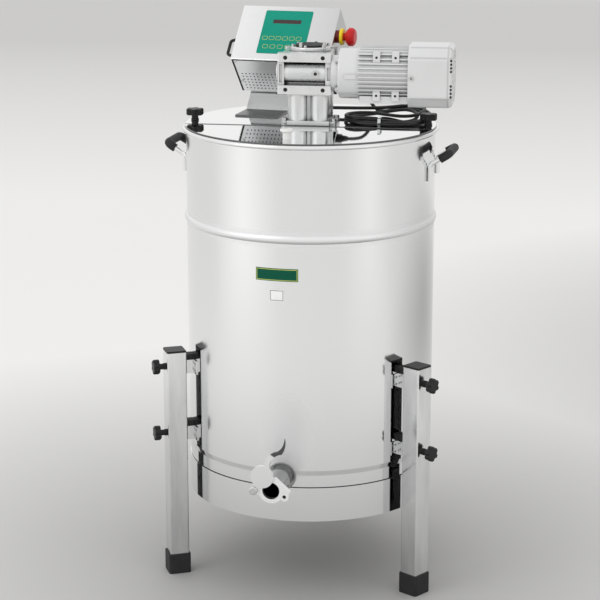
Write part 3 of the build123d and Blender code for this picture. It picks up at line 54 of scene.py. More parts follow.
# %% Camera
CAMERA_AT, CAMERA_TILT, CAMERA_TURN = (0.519, -3.838, 1.5635), 75.44, 8.02
camera = bpy.data.objects.new("camera", bpy.data.cameras.new("camera"))
scene.collection.objects.link(camera)
camera.data.sensor_width = 36.0
camera.data.lens = 117.06
camera.location = CAMERA_AT
camera.rotation_euler = (radians(CAMERA_TILT), 0.0, radians(CAMERA_TURN))
scene.camera = camera
scene.view_settings.view_transform = "Standard"
print("camera stands", round(camera.location.length, 2), "m away")

# %% [markdown]
# ## Writing node trees as sums
# A finish is easier to read as a formula than as a web of nodes. `Socket` wraps one output of a node and
# gives it the usual operators, so that `1 - mask * 0.3` adds the Math nodes by itself. The method `node` of
# a `Tree` adds any node from its type, its settings and the values of its inputs. `Finish` is such a tree
# for a material, with a few ways to say where on the object a point lies.


# %% A socket with operators
class Socket:
    """One output of a node, with the usual operators."""

    def __init__(self, tree, output):
        self.tree, self.output = tree, output

    def math(self, operation, first, second):
        return self.tree.node("ShaderNodeMath", {"operation": operation}, {0: first, 1: second})

    def __add__(self, other):
        return self.math("ADD", self, other)

    def __sub__(self, other):
        return self.math("SUBTRACT", self, other)

    def __rsub__(self, other):
        return self.math("SUBTRACT", other, self)

    def __mul__(self, other):
        return self.math("MULTIPLY", self, other)

    def __gt__(self, other):
        return self.math("GREATER_THAN", self, other)

    def __lt__(self, other):
        return self.math("LESS_THAN", self, other)

    def __pow__(self, other):
        return self.math("POWER", self, other)

    def __abs__(self):
        return self.math("ABSOLUTE", self, 0.0)

    def __or__(self, other):
        return self.math("MAXIMUM", self, other)

    def __and__(self, other):
        return self.math("MINIMUM", self, other)

    def ramp(self, start, over):
        """0 up to a start, then rising evenly to 1 over a length."""
        return (((self - start) * (1 / over)) | 0.0) & 1.0

    __radd__ = __add__
    __rmul__ = __mul__


print("made Socket")


# %% A tree that adds nodes
class Tree:
    """Adds nodes to a node tree."""

    def __init__(self, tree):
        self.tree = tree

    def node(self, kind, settings=None, inputs=None, output=0):
        node = self.tree.nodes.new(kind)
        for name, value in (settings or {}).items():
            setattr(node, name, value)
        for key, value in (inputs or {}).items():
            for part in value if isinstance(value, list) else [value]:
                self.plug(node.inputs[key], part)
        return Socket(self, node.outputs[output])

    def plug(self, socket, value):
        if isinstance(value, Socket):
            self.tree.links.new(value.output, socket)
        elif socket.type == "RGBA" and len(value) == 3:
            socket.default_value = (*value, 1.0)
        else:
            socket.default_value = value


print("made Tree")

# %% A finish for a material
COOL = (1.0, 1.006, 1.012)


class Finish(Tree):
    """A material on the Principled shader."""

    def __init__(self, name, color, roughness, metallic=0.0, **fixed):
        self.material = bpy.data.materials.new(name)
        self.material.use_nodes = True
        super().__init__(self.material.node_tree)
        self.shader = self.tree.nodes["Principled BSDF"]
        self.set("Base Color", color)
        self.set("Roughness", roughness)
        self.set("Metallic", metallic)
        for socket, value in fixed.items():
            self.set(socket.replace("_", " ").title(), value)

    def set(self, name, value):
        self.plug(self.shader.inputs[name], value)

    def place(self, stretch=(1, 1, 1), turn=(0, 0, 0)):
        """Object coordinates in metres, turned and then stretched."""
        where = self.node("ShaderNodeTexCoord", output="Object")
        turned = self.node("ShaderNodeMapping", None, {"Vector": where, "Rotation": turn})
        return self.node("ShaderNodeMapping", None, {"Vector": turned, "Scale": stretch})

    def noise(self, scale, detail=3.0, stretch=(1, 1, 1), turn=(0, 0, 0)):
        return self.node("ShaderNodeTexNoise", None, {
            "Vector": self.place(stretch, turn), "Scale": scale, "Detail": detail,
        })

    def along(self, direction):
        """How far a point lies along a direction from the origin, in metres."""
        where = self.node("ShaderNodeTexCoord", output="Object")
        ends = {0: where, 1: direction}
        return self.node("ShaderNodeVectorMath", {"operation": "DOT_PRODUCT"}, ends, "Value")

    def away(self, spot, stretch=(1, 1, 1)):
        """How far a point lies from a spot, in metres. A stretch of 0 leaves an axis out."""
        return self.node("ShaderNodeVectorMath", {"operation": "DISTANCE"}, {
            0: self.place(stretch), 1: spot,
        }, "Value")

    def inside(self, *spans):
        """1 where a point lies within every span: a direction, and the lowest and highest reach along it."""
        mask = None
        for direction, low, high in spans:
            reach = self.along(direction)
            within = (reach > low) & (reach < high)
            mask = within if mask is None else mask & within
        return mask

    def between(self, mask, low, high):
        """A colour between two, by a mask from 0 to 1. Either may be a number for a cool grey, or a link."""
        low = tuple(low * part for part in COOL) if isinstance(low, float) else low
        high = tuple(high * part for part in COOL) if isinstance(high, float) else high
        return self.node("ShaderNodeMix", {"data_type": "RGBA"}, {0: mask, 6: low, 7: high}, 2)

    def corners(self, reach):
        """1 in tight corners, where painted shade goes, falling to 0 on open faces."""
        open_sky = self.node("ShaderNodeAmbientOcclusion", {"samples": 8}, {"Distance": reach}, "AO")
        return 1.0 - open_sky

    def bump(self, height, strength, distance):
        shape = {"Height": height, "Strength": strength, "Distance": distance}
        self.set("Normal", self.node("ShaderNodeBump", None, shape))


print("made Finish; the frame brings", len(bpy.data.materials), "materials")

# %% [markdown]
# ## Light
# Polished steel shows what stands round it, so the studio is built for its reflections. The camera looks
# down, so an upright wall mostly reflects the floor. The floor's colour therefore holds painted shade in
# soft
# pools: a painted shadow under the tank and at the right behind it, and a darker band further back. These
# give the wall its darker bands. Tall lamps at the left and right give the bright bands. Each is a stack of
# ever narrower panels, so that its band has soft edges. The camera doesn't see them. A large lamp at the
# upper left shades the duller pieces, and a pale world, a little dimmer behind at the right, fills in the
# rest.

# %% Studio floor
FLOOR, FLOOR_SHADE = (0.86, 0.857, 0.848), (0.26, 0.259, 0.257)
FLOOR_HALF, CLOUD_DIM = 30.0, 0.985
SHADES = (((0.0, -0.05, 0.0), 1.7, 0.85), ((1.75, 1.6, 0.0), 2.1, 0.75))
BACK_FROM, BACK_OVER, BACK_SHARE = 3.6, 5.0, 0.45
FAR_FROM, FAR_OVER = 11.0, 9.0
floor_finish = Finish("studio_floor", FLOOR, 0.8)
cloud = floor_finish.noise(1.7, 4.0)
behind = floor_finish.along((0, 1, 0))
# painted shade on the floor: painted shadow under the tank and at the right behind it, and a darker band
# further back
painted_floor_shade = behind.ramp(BACK_FROM, BACK_OVER) * (1.0 - behind.ramp(FAR_FROM, FAR_OVER)) * BACK_SHARE
for middle, reach, share in SHADES:
    painted_floor_shade = painted_floor_shade | ((1.0 - floor_finish.away(middle) * (1 / reach)) * share)
pale = floor_finish.between(cloud, tuple(c * CLOUD_DIM for c in FLOOR), FLOOR)
floor_finish.set("Base Color", floor_finish.between(painted_floor_shade, pale, FLOOR_SHADE))
floor_mesh = bpy.data.meshes.new("studio_floor")
floor_corners = [(FLOOR_HALF * x, FLOOR_HALF * y, 0.0) for x, y in ((-1, -1), (1, -1), (1, 1), (-1, 1))]
floor_mesh.from_pydata(floor_corners, [], [(0, 1, 2, 3)])
floor_mesh.materials.append(floor_finish.material)
floor = bpy.data.objects.new("studio_floor", floor_mesh)
scene.collection.objects.link(floor)
print("floor shades", len(SHADES))


# %% Lamps
def lamp(name, place, aim, size, radiance):
    """A rectangular lamp that adds a radiance to what is seen through it."""
    light = bpy.data.lights.new(name, "AREA")
    light.shape, light.size, light.size_y = "RECTANGLE", size[0], size[1]
    light.energy = radiance * pi * size[0] * size[1]
    obj = bpy.data.objects.new(name, light)
    obj.location = place
    obj.rotation_euler = (Vector(aim) - Vector(place)).to_track_quat("-Z", "Y").to_euler()
    obj.visible_camera = False
    scene.collection.objects.link(obj)
    print(name, round(light.energy, 1), "W")


PANELS = (("left", (-1.75, -1.3), 2.4, 0.07), ("right", (1.9, -1.1), 1.7, 0.05))
PANEL_TALL, PANEL_SHARES = 2.0, (1.0, 0.72, 0.44, 0.2)
PANEL_STEP, PANEL_LIFT = 0.03, 0.07
for k, share in enumerate(PANEL_SHARES):
    away, middle = 1.0 + PANEL_STEP * k, PANEL_TALL / 2 + PANEL_LIFT * k
    for side, (x, y), wide, radiance in PANELS:
        place, size = (x * away, y * away, middle), (wide * share, PANEL_TALL)
        lamp("panel_%s_%d" % (side, k), place, (0, 0, middle), size, radiance)
KEY_PLACE, KEY_AIM, KEY_SIZE, KEY_RADIANCE = (-2.3, -2.2, 2.9), (0, 0, 0.6), (1.8, 2.2), 1.2
lamp("key", KEY_PLACE, KEY_AIM, KEY_SIZE, KEY_RADIANCE)

# %% World
WORLD_LEVEL, WORLD_TINT = 1.0, (1.0, 0.997, 0.99)
DIM_WAY, DIM_POWER, DIM_SHARE = (0.9, 0.7, 0.1), 3.0, 0.3
world = bpy.data.worlds.new("studio")
scene.world = world
world.use_nodes = True
sky = Tree(world.node_tree)
background = world.node_tree.nodes["Background"]


def toward(direction):
    """1 where the world lies in a direction, falling to -1 opposite."""
    where = sky.node("ShaderNodeTexCoord", output="Generated")
    unit = Vector(direction).normalized()
    return sky.node("ShaderNodeVectorMath", {"operation": "DOT_PRODUCT"}, {0: where, 1: unit}, "Value")


behind_right = (toward(DIM_WAY) | 0.0) ** DIM_POWER
sky.plug(background.inputs["Strength"], WORLD_LEVEL - behind_right * DIM_SHARE)
sky.plug(background.inputs["Color"], WORLD_TINT)
print("world level", WORLD_LEVEL)

# %% [markdown]
# ## Leads
# The mains lead leaves a gland on the control box, drops to the lid and is wound there into a loose hank,
# which a silver tie holds. A lead is one smooth line, so it is a NURBS curve with a round bevel. The turns
# of the hank are points of the same spline, on the polygon that the curve then rounds off: three rings, a
# figure of eight on top of them and a tail to the plug. The rings differ in size and fan out at the end
# that no tie holds, and there the hank springs up a little. A short motor lead joins the terminal box to
# the control box behind the motor.

# %% Sizes of the hank, in millimetres from the middle of the lid
MM = 0.001
LID_TOP, LEAD_RADIUS = 0.925, 0.0035  # these two in metres
HANK_LOW, HANK_HIGH = 4.5, 12.3
HANK_LEFT, HANK_RIGHT = (66.0, 77.0), (236.0, 223.0, 210.0)
HANK_FRONT, HANK_BACK = (-24.0, -16.0, -8.0), (118.0, 107.0, 96.0)
FAN_FRONT = (-29.0, -16.0, -2.0)
EIGHT_LEFT, EIGHT_RIGHT = (104.0, 28.0, 36.0), (182.0, 64.0, 41.0)
RING_CORNERS, EIGHT_CORNERS = 6, 9
SPRING, SPRING_X, SPRING_Y = 11.5, (110.0, 180.0), (10.0, 90.0)
TAIL_FROM, TAIL_TO, TAIL_Y, TAIL_EASE, TAIL_IN = 172.0, 34.0, 118.0, 35.0, 7.0
print("hank is", HANK_RIGHT[0] - HANK_LEFT[0], "mm long")


# %% Corners round an arc
def arc_points(middle, radius, first, last, count, height):
    """Corners of the polygon round an arc; angles are in degrees from +X."""
    step = (last - first) / count
    reach = radius / cos(radians(step / 2))
    spots = []
    for k in range(count):
        angle = radians(first + (k + 0.5) * step)
        spots.append((middle[0] + reach * cos(angle), middle[1] + reach * sin(angle), height))
    return spots


def half_turn(edge, start, end, height):
    """Corners round a half turn that reaches edge, on the right when start is behind end."""
    radius = abs(start - end) / 2
    right = start > end
    x = edge - radius if right else edge + radius
    first, last = (90, -90) if right else (270, 90)
    return arc_points((x, (start + end) / 2), radius, first, last, RING_CORNERS, height)


print("corners of a half turn", RING_CORNERS)


# %% Corners of the hank
def hank_points():
    """The rings, then the figure of eight, whose two arcs a straight run joins, then the tail."""
    spots = []
    for k, front in enumerate(HANK_FRONT):
        spots += half_turn(HANK_RIGHT[k], HANK_BACK[k], FAN_FRONT[k], HANK_LOW)
        if k < len(HANK_LEFT):
            spots += half_turn(HANK_LEFT[k], front, HANK_BACK[k + 1], HANK_LOW)
    (x1, y1, r1), (x2, y2, r2) = EIGHT_LEFT, EIGHT_RIGHT
    lean = degrees(asin((r1 + r2) / hypot(x2 - x1, y2 - y1)) - atan2(y2 - y1, x2 - x1))
    spots += arc_points((x1, y1), r1, 270, 90 - lean, EIGHT_CORNERS, HANK_HIGH)
    spots += arc_points((x2, y2), r2, -90 - lean, 90, EIGHT_CORNERS, HANK_HIGH)
    spots.append((TAIL_FROM - TAIL_EASE, y2 + r2, HANK_HIGH))
    spots.append((TAIL_TO + TAIL_EASE, TAIL_Y, HANK_HIGH))
    return spots + [(TAIL_TO - TAIL_IN, TAIL_Y, HANK_HIGH)]


def ease(value, start, end):
    """0 up to start and 1 from end on, with a smooth rise between them."""
    share = min(max((value - start) / (end - start), 0.0), 1.0)
    return share * share * (3.0 - 2.0 * share)


def sprung(spots):
    """The end of the hank that no tie holds springs up off the lid."""
    return [(x, y, z + SPRING * ease(x, *SPRING_X) * ease(y, *SPRING_Y)) for x, y, z in spots]


def on_lid(spots):
    """Points in metres, from millimetres across the lid and above it."""
    return [Vector((x * MM, y * MM, LID_TOP + z * MM)) for x, y, z in spots]


print("hank corners", len(hank_points()))

# %% The control box's own frame
BOX_TURN, BOX_TILT = radians(-8.1), radians(45.3)
CONSOLE_AT = (-0.1795, 0.092, LID_TOP + 0.1128)
CONSOLE_WIDE, CONSOLE_DEEP = 0.208, 0.110
GLAND_LONG, GLAND_RUN = 0.022, 0.0225
CONSOLE = (
    Matrix.Translation(CONSOLE_AT)
    @ Matrix.Rotation(BOX_TURN, 4, "Z") @ Matrix.Rotation(BOX_TILT, 4, "X")
)
PANEL_ACROSS = CONSOLE.to_3x3() @ Vector((1, 0, 0))
PANEL_UP = CONSOLE.to_3x3() @ Vector((0, 1, 0))
PANEL_OUT = CONSOLE.to_3x3() @ Vector((0, 0, 1))


def on_panel(across, up, out=0.0):
    """A point of the tilted panel, from millimetres across, up and out of it."""
    return CONSOLE @ Vector((across * MM, up * MM, out * MM))


def gland_tip(up, depth, reach=0.0):
    """The end of a gland on the box's right side, or a point that far beyond it."""
    return CONSOLE @ Vector((CONSOLE_WIDE + GLAND_LONG + reach, up, -depth))


print("panel tilt", round(degrees(BOX_TILT), 1), "degrees")


# %% Mains lead and motor lead
def lead_curve(name, spots, radius):
    """A round lead on one smooth spline."""
    data = bpy.data.curves.new(name, "CURVE")
    data.dimensions = "3D"
    data.bevel_depth, data.bevel_resolution = radius, 3
    data.use_fill_caps = True
    data.resolution_u = 6
    spline = data.splines.new("NURBS")
    spline.points.add(len(spots) - 1)
    for point, spot in zip(spline.points, spots):
        point.co = (*spot, 1.0)
    spline.order_u = 3
    spline.use_endpoint_u = True
    obj = bpy.data.objects.new(name, data)
    scene.collection.objects.link(obj)
    return obj


MAINS_GLAND, MOTOR_GLAND = (0.012, 0.095), (0.050, 0.075)
MAINS_ROUTE = [(99.6, 126.1, 42.8), (111.8, 120.6, 16.7), (131.0, 118.0, 4.5)]
MOTOR_ROUTE = [(140.0, 68.0, 97.0), (140.0, 94.0, 97.0), (130.5, 121.0, 88.5), (107.0, 138.0, 86.0)]
mains_exit = gland_tip(*MAINS_GLAND)
mains_spots = [mains_exit, gland_tip(*MAINS_GLAND, GLAND_RUN)]
mains_spots += on_lid(MAINS_ROUTE) + on_lid(sprung(hank_points()))
mains_cord = lead_curve("mains_cord", mains_spots, LEAD_RADIUS)
motor_spots = on_lid(MOTOR_ROUTE) + [gland_tip(*MOTOR_GLAND, GLAND_RUN), gland_tip(*MOTOR_GLAND)]
motor_cord = lead_curve("motor_cord", motor_spots, LEAD_RADIUS)
print("mains spline points", len(mains_spots))

# %% Sheath of the leads
sheath = Finish("lead_sheath", (0.012, 0.012, 0.013), 0.42)
dirt_and_shade = sheath.noise(60.0, 4.0)
sheath.set("Base Color", sheath.between(dirt_and_shade, (0.007, 0.007, 0.008), (0.020, 0.020, 0.022)))
sheath.set("Roughness", 0.32 + dirt_and_shade * 0.2)
sheath.bump(sheath.noise(900.0, 2.0), 0.15, 0.0002)
for cord in (mains_cord, motor_cord):
    cord.data.materials.append(sheath.material)
    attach(cord, "base")
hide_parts("mains_lead", "mains_hank")
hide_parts("motor_lead")

# %% [markdown]
# ## Steel
# Tank, lid, gate and legs are four steels. The tank is bright rolled sheet with a fine grain round it, the
# lid is polished like a mirror, the gate is turned and buffed, and the legs are bright square tube with a
# grain that runs up them. All are full metals. What tells them apart is the roughness and the way that the
# grain runs, so each gets noise on Object coordinates, stretched along its grain if it has one. The tank
# isn't evenly bright either. It reflects sharply near the legs and handles, and is duller above the gate
# and along its swage, so its roughness also changes by zones.

# %% Zones of the tank's wall
TANK_RADIUS, TANK_ANGLE = 0.25, -5.3
LEG_ANGLES = tuple(angle + TANK_ANGLE for angle in (60.0, -60.0, 180.0))
HANDLE_ANGLES = tuple(angle + TANK_ANGLE for angle in (90.0, -90.0))
BRIGHT_REACH, BRIGHT_LEG_Z, BRIGHT_HANDLE_Z, BRIGHT_STRETCH = 0.1, 0.33, 0.86, (1, 1, 0.3)
HAZE_ANGLE, HAZE_Z, HAZE_REACH, HAZE_STRETCH, HAZE_FADE = -3.0, 0.335, 0.068, (1, 1, 0.55), 0.8
SWAGE_Z, SWAGE_REACH = 0.739, 0.02
tank_steel = Finish("tank_steel", (0.80, 0.805, 0.81), 0.1, 1.0)


def near(finish, spot, reach, stretch=(1, 1, 1), fade=0.5):
    """1 close to a spot, falling smoothly to 0 over the last part, the fade, of its reach."""
    spot = tuple(place * scale for place, scale in zip(spot, stretch))
    share = (reach - finish.away(spot, stretch)).ramp(0.0, fade * reach)
    return share * share * (3.0 - share * 2.0)


def wall_spot(angle, height):
    """A point of the wall, from degrees round it, from the front towards +X, and metres up."""
    return TANK_RADIUS * sin(radians(angle)), -TANK_RADIUS * cos(radians(angle)), height


bright_zone = 0.0
for angle in LEG_ANGLES:
    spot = wall_spot(angle, BRIGHT_LEG_Z)
    bright_zone = near(tank_steel, spot, BRIGHT_REACH, BRIGHT_STRETCH) | bright_zone
for angle in HANDLE_ANGLES:
    spot = wall_spot(angle, BRIGHT_HANDLE_Z)
    bright_zone = near(tank_steel, spot, BRIGHT_REACH) | bright_zone
hazy_zone = near(tank_steel, wall_spot(HAZE_ANGLE, HAZE_Z), HAZE_REACH, HAZE_STRETCH, HAZE_FADE)
swage_zone = near(tank_steel, (0, 0, SWAGE_Z), SWAGE_REACH, (0, 0, 1))
print("bright zones", len(LEG_ANGLES) + len(HANDLE_ANGLES))


# %% Tank wall and skirt
def paint(finish, *names):
    """Give CAD nodes a finish."""
    for name in names:
        mesh = nodes[name].data
        mesh.materials.clear()
        mesh.materials.append(finish.material)
    print(finish.material.name, "on", ", ".join(names))


BRIGHT_SHARE, HAZE_SHARE, SWAGE_SHARE = 0.7, 0.36, 0.14
grain = tank_steel.noise(3.0, 5.0, (8, 8, 420))
cloud = tank_steel.noise(5.0, 3.0, (1, 1, 0.35))
rolled = 0.15 + grain * 0.05 + cloud * 0.07
tank_steel.set("Base Color", tank_steel.between(cloud, 0.76, 0.82))
duller = hazy_zone * HAZE_SHARE + swage_zone * SWAGE_SHARE
tank_steel.set("Roughness", rolled * (1.0 - bright_zone * BRIGHT_SHARE) + duller)
tank_steel.bump(grain * 0.4 + cloud, 0.03, 0.002)
paint(tank_steel, "tank_wall", "tank_floor", "base_skirt", "crossbar", "handle_bows", "stirrer_shaft",
      "stirrer_blades")

# %% [markdown]
# ## Lid
# The lid is in two halves: a fixed rear cover, and a front lid that lifts on a piano hinge. Both are
# polished, so they mirror the drive that stands above them. The gaps at the hinge and the rim show as thin
# lines of shade. Grooves could make them, but lines this thin are quicker to place as masks of painted shade
# in the finish.

# %% Lid, with painted shade lines at its piano hinge and its edge
HINGE_Y, HINGE_HALF = -0.048, 0.0024
LID_RADIUS, EDGE_DEEP = 0.2520, 0.0006
lid_steel = Finish("lid_steel", (0.84, 0.845, 0.85), 0.05, 1.0)
scuff = lid_steel.noise(40.0, 6.0, (1, 6, 1))
hinge_shade = abs(lid_steel.along((0, 1, 0)) - HINGE_Y) < HINGE_HALF
edge_shade = lid_steel.away((0, 0, 0), (1, 1, 0)) > LID_RADIUS - EDGE_DEEP
polished = lid_steel.between(scuff, 0.80, 0.86)
# painted shade along the hinge gap and the lid's edge
lid_steel.set("Base Color", lid_steel.between(hinge_shade | edge_shade, polished, 0.16))
lid_steel.set("Roughness", 0.015 + scuff * 0.04 + hinge_shade * 0.4)
lid_steel.bump(lid_steel.noise(9.0, 2.0), 0.015, 0.002)
paint(lid_steel, "rear_cover", "front_lid")

# %% [markdown]
# ## Gate
# A flap swings on a pivot to open the outlet, and a lever on it is the handle. Flange and flap are bright,
# while barrel, stub and lever are painted darker, as painted shade. The barrel belongs to the gate's body
# and the lever to the flap, so a mask along one direction parts them: out of the tank for the barrel, along
# the lever for the lever.

# %% Gate, with painted shade on its barrel, outlet stub and lever
LEVER_TURN, TANK_TURN = radians(60), radians(TANK_ANGLE)
LEVER_WAY = (cos(LEVER_TURN) * cos(TANK_TURN), cos(LEVER_TURN) * sin(TANK_TURN), sin(LEVER_TURN))
PIVOT, LEVER_FROM = Vector((-0.0643, -0.3355, 0.263)), 0.082
GATE_OUT, FLANGE_BACK = (sin(TANK_TURN), -cos(TANK_TURN), 0), 0.3286


def buffed(name):
    """A steel with a fine swirl in it, and the swirl itself."""
    finish = Finish(name, (0.80, 0.80, 0.80), 0.2, 1.0)
    swirl = finish.noise(120.0, 4.0)
    finish.bump(swirl, 0.04, 0.0004)
    return finish, swirl


gate_steel, swirl = buffed("gate_steel")
# painted shade on the barrel behind the flange
barrel_shade = gate_steel.along(GATE_OUT) < FLANGE_BACK
gate_steel.set("Base Color", gate_steel.between(barrel_shade, gate_steel.between(swirl, 0.88, 0.96), 0.34))
gate_steel.set("Roughness", 0.4 - barrel_shade * 0.22)
stub_steel, swirl = buffed("stub_steel")
# the whole stub is painted darker, as painted shade
stub_steel.set("Base Color", stub_steel.between(swirl, 0.26, 0.42))
stub_steel.set("Roughness", 0.16 + swirl * 0.1)
flap_steel, swirl = buffed("flap_steel")
# painted shade on the lever beyond its root
lever_shade = flap_steel.along(LEVER_WAY) > PIVOT.dot(LEVER_WAY) + LEVER_FROM
flap_steel.set("Base Color", flap_steel.between(lever_shade, 0.82, 0.10))
flap_steel.set("Roughness", 0.14 + swirl * 0.1)
paint(gate_steel, "gate_body")
paint(stub_steel, "outlet_stub")
paint(flap_steel, "gate_flap")
print("lever dark from", LEVER_FROM, "m on")

# %% [markdown]
# ## Legs
# Each leg is a square tube, and its grain, smears and streaks all run up it. The side that faces the tank
# looks nearly black, because it only sees the gap. A thin layer of the finish is painted dark there as
# painted shade, found by how far out from the tank's axis it lies.

# %% Legs and brackets, with painted shade on the side that faces the tank
LEG_INNER = (0.2660, 0.2676)
leg_steel = Finish("leg_steel", (0.74, 0.745, 0.75), 0.15, 1.0)
lines = leg_steel.noise(9.0, 4.0, (90, 90, 3))
smear = leg_steel.noise(14.0, 3.0, (1, 1, 0.3))
streak = leg_steel.noise(30.0, 4.0, (1, 1, 0.2))
back_shade = 0.0
for angle in LEG_ANGLES:
    back_shade = leg_steel.inside(((sin(radians(angle)), -cos(radians(angle)), 0), *LEG_INNER)) | back_shade
drawn = leg_steel.between(lines * 0.4 + streak * 0.9 - 0.15, 0.52, 0.92)
# painted shade on the side of each leg that faces the tank
leg_steel.set("Base Color", leg_steel.between(back_shade, drawn, 0.03))
leg_steel.set("Roughness", 0.07 + lines * 0.07 + smear * 0.06)
leg_steel.bump(lines + smear, 0.03, 0.0008)
paint(leg_steel, "leg_left", "leg_right", "leg_rear", "tank_brackets")
print("dark backs", len(LEG_ANGLES))

# %% [markdown]
# ## Castings
# The tower and gearbox are bead-blasted aluminium castings, bright and slightly rough. Blasting leaves a
# fine bump with no direction, so plain noise is enough. The corners of a casting, found by an Ambient
# Occlusion node, and the opening in the gearbox get painted shade.

# %% Cast aluminium of the gearbox and the tower
WINDOW = ((1, 0, 0), -0.0360, 0.0280), ((0, 0, 1), 1.0085, 1.0555), ((0, 1, 0), -0.0655, -0.030)
cast = Finish("cast_aluminium", (0.74, 0.745, 0.75), 0.3, 1.0)
pits = cast.noise(700.0, 3.0)
patch = cast.noise(28.0, 4.0)
# painted shade in the gearbox's opening and in its corners
cast_shade = cast.inside(*WINDOW) * 0.08 | (cast.corners(0.008) * 0.9)
cast.set("Base Color", cast.between(cast_shade, cast.between(patch, 0.64, 0.86), 0.10))
cast.set("Roughness", 0.18 + patch * 0.2)
cast.bump(pits * 0.6 + patch * 0.5, 0.16, 0.0006)
tower_cast = Finish("tower_cast", (0.52, 0.525, 0.53), 0.2, 1.0)
patch = tower_cast.noise(28.0, 4.0, (1, 1, 0.3))
worn = tower_cast.between(patch, 0.58, 0.82)
# painted shade in the tower's corners
tower_cast.set("Base Color", tower_cast.between(tower_cast.corners(0.010), worn, 0.08))
tower_cast.set("Roughness", 0.16 + patch * 0.16)
tower_cast.bump(tower_cast.noise(700.0, 3.0), 0.1, 0.0005)
paint(cast, "gearbox_housing", "gearbox_covers")
paint(tower_cast, "drive_tower")

# %% [markdown]
# ## Motor
# The motor has silver-grey paint with a faint orange peel. Fins, fan cover and pads are real shapes, but in
# such even light their gaps stay too bright, so the insides get painted shade. Masks find those places: a
# distance from the motor's axis for the roots of the fins, flat bounds for the inside of the cover, narrow
# bands for its folds and small circles for the holes.

# %% Motor paint, with painted shade between the fins
MOTOR_Y, MOTOR_Z = -0.045, 1.032
FIN_SPAN, FIN_ROOT, FIN_TALL, FIN_SHADE = (0.105, 0.203), 0.0500, 0.0040, 0.12
motor_paint = Finish("motor_paint", (0.58, 0.585, 0.59), 0.34, 0.3, coat_weight=0.15, coat_roughness=0.2)
from_axis = motor_paint.away((0, MOTOR_Y, MOTOR_Z), (0, 1, 1))
in_fins = motor_paint.inside(((1, 0, 0), *FIN_SPAN))
# painted shade at the roots of the fins
dirt_and_shade = in_fins * (1.0 - from_axis.ramp(FIN_ROOT, FIN_TALL)) * FIN_SHADE
print("fins", round(FIN_SPAN[1] - FIN_SPAN[0], 3), "m long")

# %% Painted shade inside the fan cover
COVER_FROM, COVER_END, COVER_HALF, COVER_SKIN = 0.206, 0.288, 0.0595, 0.0026
COVER_CHAMFER, COVER_EDGE, SLANT_SKIN = 0.0215, 0.010, 1.5 * COVER_SKIN
NO_LIMIT = -9.0
half = COVER_HALF - COVER_SKIN
slant = 2 * COVER_HALF - COVER_CHAMFER - SLANT_SKIN
lip = COVER_END + COVER_HALF - COVER_EDGE - SLANT_SKIN
cover_shade = motor_paint.inside(
    ((1, 0, 0), COVER_FROM, COVER_END - COVER_SKIN),
    ((0, 1, 0), MOTOR_Y - half, MOTOR_Y + half), ((0, 0, 1), MOTOR_Z - half, MOTOR_Z + half),
    ((0, 1, 1), MOTOR_Y + MOTOR_Z - slant, MOTOR_Y + MOTOR_Z + slant),
    ((0, 1, -1), MOTOR_Y - MOTOR_Z - slant, MOTOR_Y - MOTOR_Z + slant),
    ((1, 1, 0), NO_LIMIT, MOTOR_Y + lip), ((1, -1, 0), NO_LIMIT, lip - MOTOR_Y),
    ((1, 0, 1), NO_LIMIT, MOTOR_Z + lip), ((1, 0, -1), NO_LIMIT, lip - MOTOR_Z),
)
print("fan cover", round(COVER_END - COVER_FROM, 3), "m long")

# %% Painted shade in the holes of the motor's pads and along the folds of the fan cover
PAD_X, PAD_RISE, PAD_FACE, PAD_HOLE, HOLE_FROM = (0.140, 0.177), 0.037, -0.089, 0.0027, 0.0004
CREASE_RISE, CREASE_HALF, CREASE_END, CREASE_SHARE = 0.0395, 0.0026, 0.2790, 0.3
along_motor, depth = motor_paint.along((1, 0, 0)), motor_paint.along((0, 1, 0))
hole_ends = 0.0
for x in PAD_X:
    for rise in (-PAD_RISE, PAD_RISE):
        hole_ends = (motor_paint.away((x, 0, MOTOR_Z + rise), (1, 0, 1)) < PAD_HOLE) | hole_ends
pad_hole_shade = hole_ends & (depth > PAD_FACE + HOLE_FROM) & (depth < MOTOR_Y)
high = abs(motor_paint.along((0, 0, 1)) - MOTOR_Z)
deep = abs(depth - MOTOR_Y)
off_fold = abs(high - CREASE_RISE) & abs(deep - CREASE_RISE) & abs(along_motor - CREASE_END)
crease_shade = (along_motor > COVER_FROM) * ((1.0 - off_fold * (1 / CREASE_HALF)) | 0.0) * CREASE_SHARE
print("pad holes", 2 * len(PAD_X))

# %% The motor's paint put together
peel = motor_paint.noise(420.0, 2.0)
fade = motor_paint.noise(14.0, 4.0)
# painted shade between the fins, inside the fan cover, along its folds, in the pad holes and in corners
dark = dirt_and_shade | cover_shade | crease_shade | pad_hole_shade | (motor_paint.corners(0.006) * 0.4)
motor_paint.set("Base Color", motor_paint.between(dark, motor_paint.between(fade, 0.64, 0.74), 0.04))
motor_paint.set("Roughness", 0.28 + fade * 0.14)
motor_paint.bump(peel, 0.12, 0.0004)
paint(motor_paint, "motor_flange", "motor_frame", "fan_cover", "terminal_box")

# %% [markdown]
# ## Fasteners and works
# Screws and pins are zinc plated, and zinc tarnishes in small patches. Worm, wheel, bearings and the core
# of the motor are mostly hidden, but each still gets its own metal, for when the covers are off.

